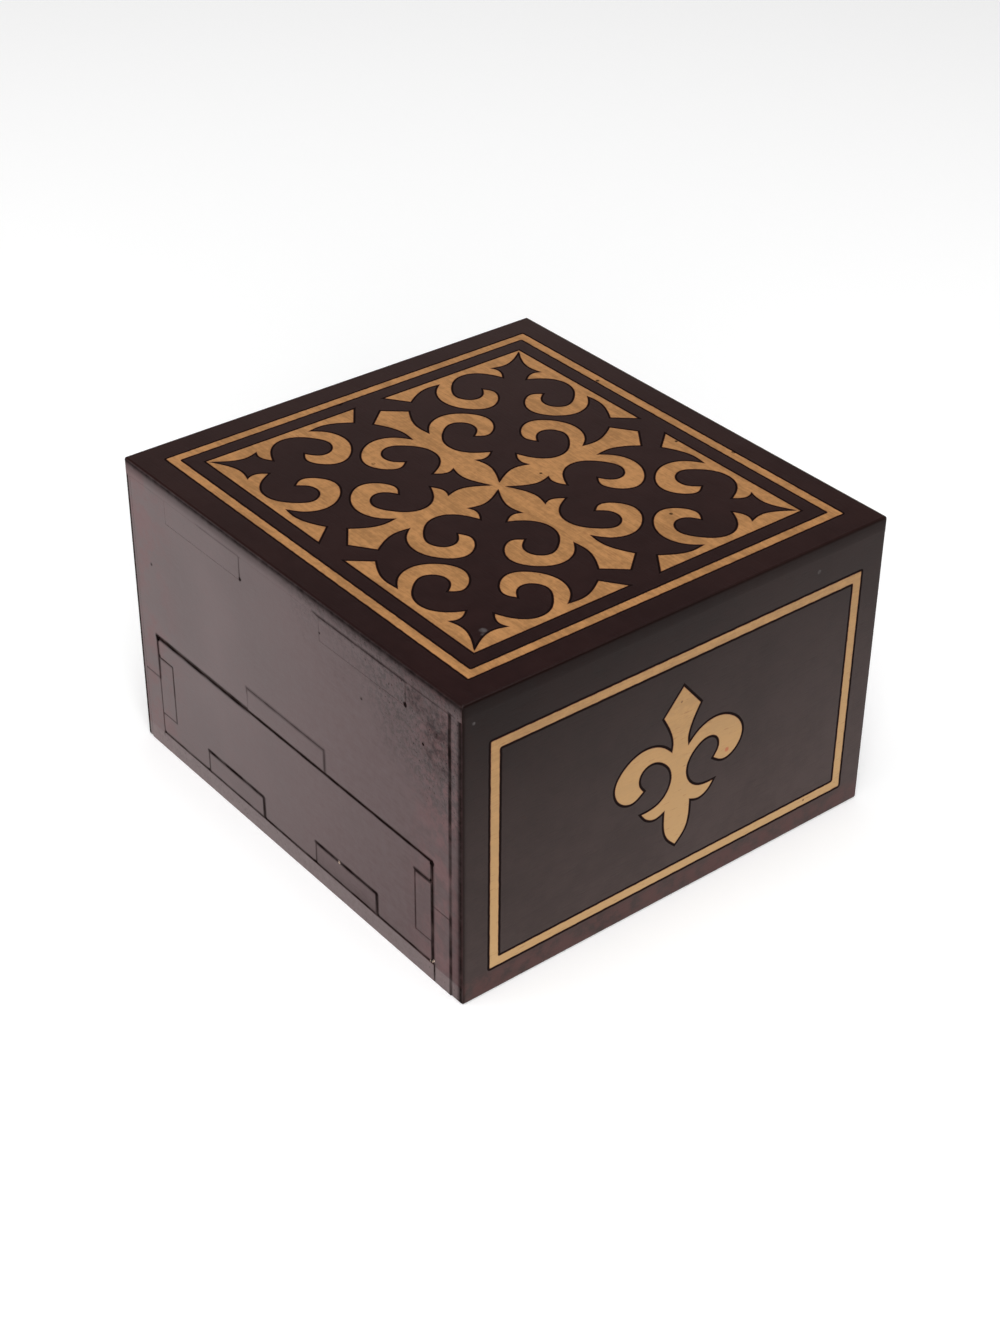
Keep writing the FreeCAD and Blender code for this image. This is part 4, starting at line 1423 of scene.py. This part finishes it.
@dataclass
class Casing:
    """The carcass, its three claddings and their inlays."""

    sizes: Sizes
    finishes: Finishes
    body: str = "casing"

    def _slotted_panel(self, facing: Facing, node: str) -> Plate:
        """The front or back panel, with notches for the tabs and fingers of its neighbours.

        Args:
            facing: the face that it shows on.
            node: its node.

        Returns:
            The plate.
        """
        s = self.sizes
        low, high = facing.flat(node_box(node))
        divider_low, divider_high = facing.flat(node_box("divider"))
        floor_low, floor_high = facing.flat(node_box("floor_panel"))
        ceiling_low, _ = facing.flat(node_box("ceiling_panel"))
        middle = (low[0] + high[0]) / 2
        tab, offset, seam = s.carcass_tab / 2 + s.joint_gap, s.ceiling_tab_offset, s.joint_gap
        shelf, roof, finger = divider_low[1], ceiling_low[1] - seam, s.wall_finger + seam
        if facing is Facing.FRONT:
            foot = [(floor_low[0], shelf), *tabs((middle,), tab, shelf, divider_high[1] + seam),
                    (floor_high[0], shelf), (floor_high[0], finger)]
            slots = []
        else:
            sill = floor_high[1] + seam
            foot = [(floor_low[0], sill), (floor_high[0], sill), (floor_high[0], finger)]
            slots = [rectangle((middle - tab, shelf - seam), (middle + tab, divider_high[1] + seam))]
        head = [(high[0], finger), (high[0], high[1]),
                *tabs((middle + offset, middle - offset), -tab, high[1], roof),
                (low[0], high[1]), (low[0], finger)]
        outline = np.array([(floor_low[0], finger)] + foot + head)
        return Plate(node, facing, outline, high[2], high[2] - low[2], rim=s.front_rim, soften=0.04,
                     slots=slots, seams=front_seams(s))

    def _shelf(self, node: str, offsets: Sequence[float]) -> Plate:
        """The divider or ceiling with its tabs, drawn in plan.

        Args:
            node: its node.
            offsets: the middles of its front and back tabs.

        Returns:
            The plate.
        """
        s = self.sizes
        low, high = node_box(node)
        middle = (low[0] + high[0]) / 2
        half = s.carcass_tab / 2
        left, right = low[0] + s.sheet, high[0] - s.sheet
        front, back = low[1] + s.sheet, high[1] - s.sheet
        middles = [middle + offset for offset in offsets]
        edge = [(left, front), *tabs(middles, half, front, low[1]), (right, front), (right, -half),
                (high[0], -half), (high[0], half), (right, half), (right, back),
                *tabs(middles[::-1], -half, back, high[1]), (left, back), (left, half), (low[0], half),
                (low[0], -half), (left, -half)]
        return Plate(node, Facing.TOP, np.array(edge), high[2], high[2] - low[2], rim=s.front_rim,
                     back_rim=s.front_rim, soften=0.05, seams=front_seams(s))

    def _wall(self, node: str, facing: Facing) -> Plate:
        """A side wall with its fingers and the slots for both shelves.

        Args:
            node: its node.
            facing: the side that it lies on.

        Returns:
            The plate.
        """
        s = self.sizes
        low, high = facing.flat(node_box(node))
        divider_low, divider_high = facing.flat(node_box("divider"))
        ceiling_low, _ = facing.flat(node_box("ceiling_panel"))
        half = s.carcass_tab / 2
        inner_low, inner_high = low[0] + s.sheet, high[0] - s.sheet
        outline = np.array([(low[0], low[1]), (high[0], low[1]), (high[0], s.wall_finger),
                            (inner_high, s.wall_finger), (inner_high, high[1]),
                            *tabs((0.0,), -half, high[1], ceiling_low[1]), (inner_low, high[1]),
                            (inner_low, s.wall_finger), (low[0], s.wall_finger)])
        slot = rectangle((-half, divider_low[1]), (half, divider_high[1]))
        return Plate(node, facing, outline, high[2], high[2] - low[2], rim=s.front_rim,
                     back_rim=s.front_rim, slots=[slot], seams=front_seams(s))

    def panels(self) -> None:
        """Front, back, walls, divider and ceiling; the floor keeps its exact shape."""
        f, s = self.finishes, self.sizes
        offset = s.ceiling_tab_offset
        plates = (
            (self._slotted_panel(Facing.FRONT, "front_panel"), "lacquer_front", f.front),
            (self._slotted_panel(Facing.BACK, "back_panel"), "lacquer_front", f.front),
            (self._shelf("divider", (0.0,)), "lacquer_front", f.front),
            (self._shelf("ceiling_panel", (-offset, offset)), "lacquer_front", f.front),
            (self._wall("left_wall", Facing.LEFT), "raw_plywood", f.front),
            (self._wall("right_wall", Facing.RIGHT), "raw_plywood", f.front),
        )
        for plate, slot, finish in plates:
            settle(plate.build(), plate.node, self.body, finish)
        dress_node("floor_panel", f.front)

    def top(self) -> None:
        """The top cladding with its ring, cross and corner inlays."""
        s, f = self.sizes, self.finishes
        low, high = node_box("top_cladding")
        half = (high[:2] - low[:2]) / 2
        ring_outer = half - s.top_margin
        ring_inner = ring_outer - s.ring_wide
        field_half = ring_inner - s.top_band
        face = high[2]
        inlays = [Inlay("top_ring_inlay", Facing.TOP, rectangle(-ring_outer, ring_outer), face,
                        hole=rectangle(-ring_inner, ring_inner)),
                  Inlay("top_fleur_cross", Facing.TOP,
                        flower_cross(TOP_FLOWER, field_half, s.centre_bridge), face)]
        corners = {"top_front_left_fleurs": (-1, -1), "top_front_right_fleurs": (1, -1),
                   "top_back_left_fleurs": (-1, 1), "top_back_right_fleurs": (1, 1)}
        for node, side in corners.items():
            inlays.append(Inlay(node, Facing.TOP,
                                flower_corner(TOP_FLOWER, field_half, s.corner_bridge, side), face))
        sheet = GroovedPlate("top_cladding", Facing.TOP, rectangle(low[:2], high[:2]), face,
                             high[2] - low[2])
        self._clad(sheet, inlays, f.top, f.top_inlay, {1: f.front, 0: f.side})

    def side(self, name: str, facing: Facing) -> None:
        """A side cladding with its ring and its single flower.

        Args:
            name: right or left.
            facing: that side's face.
        """
        s, f = self.sizes, self.finishes
        low, high = facing.flat(node_box(f"{name}_cladding"))
        shift = s.side_shift if facing is Facing.RIGHT else -s.side_shift
        outer_low = np.array([low[0] + s.side_margin + shift, s.side_foot])
        outer_high = np.array([high[0] - s.side_margin + shift, high[1] - s.side_head])
        inner_low, inner_high = outer_low + s.ring_wide, outer_high - s.ring_wide
        tall = inner_high[1] - inner_low[1] - s.fleur_foot - s.fleur_head
        foot = ((inner_low[0] + inner_high[0]) / 2, inner_low[1] + s.fleur_foot)
        inlays = [Inlay(f"{name}_ring_inlay", facing, rectangle(outer_low, outer_high), high[2],
                        hole=rectangle(inner_low, inner_high)),
                  Inlay(f"{name}_fleur_inlay", facing, whole_flower(SIDE_FLOWER, tall, foot), high[2])]
        sheet = GroovedPlate(f"{name}_cladding", facing, rectangle(low[:2], high[:2]), high[2],
                             high[2] - low[2], scorch=0.42, flush=True,
                             fading=((0.2, 0.95), (0.45, 0.7), (0.8, 0.25), (1.2, 0.0)))
        self._clad(sheet, inlays, f.side, f.side_inlay, {1: f.front})

    def _clad(self, sheet: "GroovedPlate", inlays: Sequence[Inlay], lacquer: bpy.types.Material,
              wood: bpy.types.Material, edges: dict[int, bpy.types.Material]) -> None:
        """Build a cladding with a pocket for each inlay, and the inlays.

        Args:
            sheet: the cladding, still without its cuts.
            inlays: the ring first, then the flowers.
            lacquer: its own finish.
            wood: the inlays' finish.
            edges: the finishes of its edges, by axis.
        """
        s = self.sizes
        ring, flowers = inlays[0], inlays[1:]
        ring.outline, ring.hole = (hand_cut(softened(loop, s.ring_corner), 0.5, 0.035)
                                   for loop in (ring.outline, ring.hole))
        sheet.groove_outer, sheet.groove_inner = ring.outline, ring.hole
        sheet.pockets = [inlay.outline for inlay in flowers]
        sheet.rim, sheet.back_rim, sheet.wear_and_shade, sheet.soften = s.edge_round, 0.0, 1.0, s.edge_round
        sheet.seams = front_seams(s)
        settle(sheet.build(), sheet.node, self.body, lacquer, edges)
        for inlay in inlays:
            settle(inlay.build(), inlay.node, self.body, wood)


@dataclass
class GroovedPlate(Plate):
    """A plate whose outer face has a groove for a ring inlay and pockets for flowers.

    It is a frame outside the ring and a raised field inside it, both standing on the rest
    of the sheet.  A flush plate meets the sheet above it without a rounded edge.  The fading
    says how dark the edge still is at each drop below its rounding, from worn burnt wood and
    painted shade, and the shoulder is the level strip between the rounding and the first of
    the other points.
    """

    pockets: list[np.ndarray] = field(default_factory=list)
    pocket_depth: float = 0.9
    scorch: float = 0.3
    lip: float = 0.05
    flush: bool = False
    flush_round: float = 0.01
    shoulder: float = 0.3
    fading: tuple[tuple[float, float], ...] = ((0.25, 0.85), (0.8, 0.42), (1.4, 0.25), (2.2, 0.12))
    groove_outer: np.ndarray | None = None
    groove_inner: np.ndarray | None = None

    def _inward(self, outline: np.ndarray, distance: float) -> np.ndarray:
        """The outline moved inwards; a flush plate's upper half is put back up by as much."""
        ring = inset(outline, distance)
        if self.flush:
            ring[:, 1] += distance * (outline[:, 1] > outline[:, 1].mean())
        return ring

    def _cut(self, side: float) -> list[Station]:
        """The scorched margin and the wall of a cut; side is 1 where the cut lies outside."""
        floor = self.face - self.pocket_depth
        return [Station(side * (self.scorch + self.lip), self.face, 0.0),
                Station(side * (self.scorch * 0.55 + self.lip), self.face, 1.0),
                Station(side * self.lip, self.face, 1.0), Station(0.0, self.face - self.lip, 1.0),
                Station(0.0, floor, 1.0)]

    def build(self) -> bpy.types.Object:
        """The plate as a mesh object."""
        shell = Shell(self.seams)
        floor = self.face - self.pocket_depth
        corners = anticlockwise(self.outline)
        radius = np.full(len(corners), self.soften)
        if self.flush:
            radius[corners[:, 1] > corners[:, 1].mean()] = self.flush_round
        outline = resampled(softened(corners, radius, 5, FLANKS), SEAM_STEP)
        profile = self.edge_profile()
        shell.strip(outline, profile, self._inward)
        shell.region(self._inward(outline, profile[-1].inset), [], self.back)
        outer, inner = anticlockwise(self.groove_outer), anticlockwise(self.groove_inner)
        shell.strip(outer, self._cut(-1.0))
        shell.strip(inner, self._cut(1.0))
        margin = self.scorch + self.lip
        shell.region(self._inward(outline, profile[0].inset), [inset(outer, -margin)], self.face)
        shell.region(outer, [inner], floor)
        pockets = [anticlockwise(pocket) for pocket in self.pockets]
        for pocket in pockets:
            shell.strip(pocket, self._cut(-1.0))
            shell.region(pocket, [], floor, 1.0)
        shell.region(inset(inner, margin), [inset(pocket, -margin) for pocket in pockets], self.face)
        return shell.build(f"{self.node}_finished", self.facing)

    def edge_profile(self) -> list[Station]:
        """As on any plate, with the darkening of the rounded edge, burnt wood and painted shade, fading out
        below it.
        """
        down = rounded_rim(self.face, self.rim, self.wear_and_shade)
        near, far = FLANKS
        side = [Station(0.0, self.face - self.rim - drop, wear_and_shade=self.wear_and_shade * share)
                for drop, share in self.fading]
        joint = [Station(0.0, self.back + far), Station(0.0, self.back + near), Station(0.0, self.back)]
        side = [station for station in side if station.height > self.back + far + self.lip]
        return [Station(self.rim + self.shoulder, self.face)] + down + side + joint


def dress_node(node: str, material: bpy.types.Material) -> None:
    """Give a node that keeps its exact shape its finish.

    Args:
        node: the node.
        material: the finish.
    """
    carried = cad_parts[node]
    carried.data.materials.clear()
    carried.data.materials.append(material)
    log.info("%s: kept, finish %s", node, material.name)


# ------------------------------------------------------------------ drawer, tray and catch
@dataclass
class Drawer:
    """The drawer shell: front, two sides and a notched bottom."""

    sizes: Sizes
    finishes: Finishes
    body: str = "drawer"

    def _tab_middles(self, middle: float) -> tuple[float, float]:
        """The middles of the bottom's two front tabs."""
        return middle - self.sizes.drawer_tab_offset, middle + self.sizes.drawer_tab_offset

    def _front(self) -> Plate:
        """The front with notches for the tabs of its sides and bottom."""
        s, seam = self.sizes, self.sizes.joint_gap
        low, high = Facing.FRONT.flat(node_box("drawer_front"))
        middle = (low[0] + high[0]) / 2
        tab_low = low[1] + s.sheet - seam
        tab_high = low[1] + s.sheet + s.drawer_side_tab + seam
        reach = s.sheet + seam
        half = s.drawer_base_tab / 2 + seam
        edge = [(low[0], low[1])] + tabs(self._tab_middles(middle), half, low[1], low[1] + reach)
        edge += [(high[0], low[1]), (high[0], tab_low), (high[0] - reach, tab_low),
                 (high[0] - reach, tab_high), (high[0], tab_high), (high[0], high[1]),
                 (low[0], high[1]), (low[0], tab_high), (low[0] + reach, tab_high),
                 (low[0] + reach, tab_low), (low[0], tab_low)]
        return Plate("drawer_front", Facing.FRONT, np.array(edge), high[2], high[2] - low[2],
                     rim=0.12, soften=0.12, seams=front_seams(s))

    def _side(self, node: str, facing: Facing) -> Plate:
        """A side with its tab.

        Args:
            node: its node.
            facing: the side that it lies on.

        Returns:
            The plate.
        """
        s = self.sizes
        low, high = facing.flat(node_box(node))
        tab_low, tab_high = low[1] + s.sheet, low[1] + s.sheet + s.drawer_side_tab
        if facing is Facing.RIGHT:
            tip, step, rear = low[0], low[0] + s.sheet, high[0]
        else:
            tip, step, rear = high[0], high[0] - s.sheet, low[0]
        outline = np.array([(step, low[1]), (step, tab_low), (tip, tab_low), (tip, tab_high),
                            (step, tab_high), (step, high[1]), (rear, high[1]), (rear, low[1])])
        return Plate(node, facing, outline, high[2], high[2] - low[2], rim=0.1, back_rim=0.1,
                     soften=0.08, seams=front_seams(s))

    def _bottom(self) -> Plate:
        """The bottom with its front tabs and the notch at its rear edge."""
        s = self.sizes
        low, high = node_box("drawer_bottom")
        middle = (low[0] + high[0]) / 2
        front = low[1] + s.sheet
        edge = [(low[0], front)] + tabs(self._tab_middles(middle), s.drawer_base_tab / 2, front, low[1])
        edge += [(high[0], front), (high[0], high[1])]
        edge += tabs((middle,), -s.notch_wide / 2, high[1], high[1] - s.notch_long)
        edge += [(low[0], high[1])]
        return Plate("drawer_bottom", Facing.TOP, np.array(edge), high[2], high[2] - low[2],
                     rim=0.08, back_rim=0.08, soften=0.08, seams=front_seams(s))

    def build(self) -> None:
        """Make and dress every piece."""
        f = self.finishes
        front = self._front()
        settle(front.build(), front.node, self.body, f.front)
        for plate in (self._side("drawer_left_side", Facing.LEFT),
                      self._side("drawer_right_side", Facing.RIGHT), self._bottom()):
            settle(plate.build(), plate.node, self.body, f.inside, {1: f.front})


@dataclass
class Tray:
    """The loose inner tray of thin sheets."""

    sizes: Sizes
    finishes: Finishes
    body: str = "tray"

    def build(self) -> None:
        """Make and dress every piece."""
        s = self.sizes
        faces = {"tray_front": Facing.FRONT, "tray_back": Facing.BACK, "tray_left_side": Facing.LEFT,
                 "tray_right_side": Facing.RIGHT, "tray_bottom": Facing.TOP}
        for node, facing in faces.items():
            low, high = facing.flat(node_box(node))
            slots = []
            if node == "tray_bottom":
                slots = [circle(((low[0] + high[0]) / 2, high[1] - s.pin_inset), s.catch_hole)]
            plate = Plate(node, facing, rectangle(low[:2], high[:2]), high[2], high[2] - low[2],
                          rim=0.12, back_rim=0.12, slots=slots, soften=0.12)
            settle(plate.build(), node, self.body, self.finishes.tray)


@dataclass
class Catch:
    """The steel lever, pin and axle, which keep their exact shapes."""

    finishes: Finishes

    def build(self) -> None:
        """Dress every piece."""
        for node in ("catch_lever", "catch_pin", "lever_axle"):
            dress_node(node, self.finishes.steel)


# ------------------------------------------------------------------ stage, light and camera
@dataclass
class Studio:
    """A pale floor, soft lights and the camera."""

    floor_half: float = 12.0
    floor_spans: int = 8
    surround: float = 0.056
    lamp_aim: tuple[float, float, float] = (0.0, 0.0, 0.03)
    camera_at: tuple[float, float, float] = (0.28699, -0.23078, 0.2732)
    azimuth: float = 51.118
    elevation: float = 34.066
    roll: float = 0.531
    lens: float = 64.9118
    film: float = 36.0

    def floor(self) -> None:
        """The floor: a flat grid, z = 0."""
        steps = self.floor_spans + 1
        u = np.linspace(-self.floor_half, self.floor_half, steps)
        x, y = np.meshgrid(u, u)
        points = np.stack([x.ravel(), y.ravel(), np.zeros(x.size)], 1)
        k = (np.arange(steps - 1)[:, None] * steps + np.arange(steps - 1)).ravel()
        quads = np.stack([k, k + 1, k + steps + 1, k + steps], 1)
        mesh = bpy.data.meshes.new("floor")
        mesh.from_pydata(points.tolist(), [], quads.tolist())
        mesh.materials.append(PalePaper().material())
        floor = bpy.data.objects.new("floor", mesh)
        bpy.context.scene.collection.objects.link(floor)

    def lights(self) -> None:
        """An even pale surround, a large key light and a soft fill."""
        world = bpy.data.worlds.new("studio")
        bpy.context.scene.world = world
        world.use_nodes = True
        ground = world.node_tree.nodes["Background"]
        ground.inputs["Color"].default_value = (1.0, 1.0, 1.0, 1.0)
        ground.inputs["Strength"].default_value = self.surround
        lamps = (("overhead", (0.1, -0.08, 1.2), (1.3, 1.3), 12.6),
                 ("softbox", (0.95, -0.68, 0.66), (0.9, 0.9), 14.0),
                 ("front_strip", (-0.62, -0.8, 0.16), (0.8, 0.25), 3.15),
                 ("back_card", (-1.3, 0.9, 0.3), (1.2, 0.3), 1.3))
        for name, place, size, watts in lamps:
            lamp = bpy.data.lights.new(name, "AREA")
            lamp.shape = "RECTANGLE"
            lamp.size, lamp.size_y = size
            lamp.energy = watts
            thing = bpy.data.objects.new(name, lamp)
            thing.location = place
            aim = Vector(self.lamp_aim) - Vector(place)
            thing.rotation_euler = aim.to_track_quat("-Z", "Y").to_euler()
            bpy.context.scene.collection.objects.link(thing)

    def camera(self) -> None:
        """The camera, looking down its azimuth and elevation with a slight roll."""
        a, e = math.radians(self.azimuth), math.radians(self.elevation)
        back = Vector((math.sin(a) * math.cos(e), -math.cos(a) * math.cos(e), math.sin(e)))
        level = Vector((math.cos(a), math.sin(a), 0.0))
        right = Matrix.Rotation(math.radians(self.roll), 3, back) @ level
        up = back.cross(right)
        turn = Matrix((right, up, back)).transposed().to_4x4()
        lens = bpy.data.cameras.new("camera")
        lens.sensor_fit = "AUTO"
        lens.sensor_width = self.film
        lens.lens = self.lens
        lens.clip_start = 0.01
        camera = bpy.data.objects.new("camera", lens)
        camera.matrix_world = Matrix.Translation(self.camera_at) @ turn
        bpy.context.scene.collection.objects.link(camera)
        bpy.context.scene.camera = camera

    def build(self) -> None:
        """Set everything up, with colours shown as they are."""
        bpy.context.scene.view_settings.view_transform = "Standard"
        self.floor()
        self.lights()
        self.camera()


def main() -> None:
    """Build the box on its frame."""
    logging.basicConfig(level=logging.INFO, format="%(message)s")
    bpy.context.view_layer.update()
    Studio().build()
    sizes, finishes = Sizes(), Finishes.mixed()
    casing = Casing(sizes, finishes)
    casing.panels()
    casing.top()
    casing.side("right", Facing.RIGHT)
    casing.side("left", Facing.LEFT)
    Drawer(sizes, finishes).build()
    Tray(sizes, finishes).build()
    Catch(finishes).build()


if __name__ == "__main__":
    main()
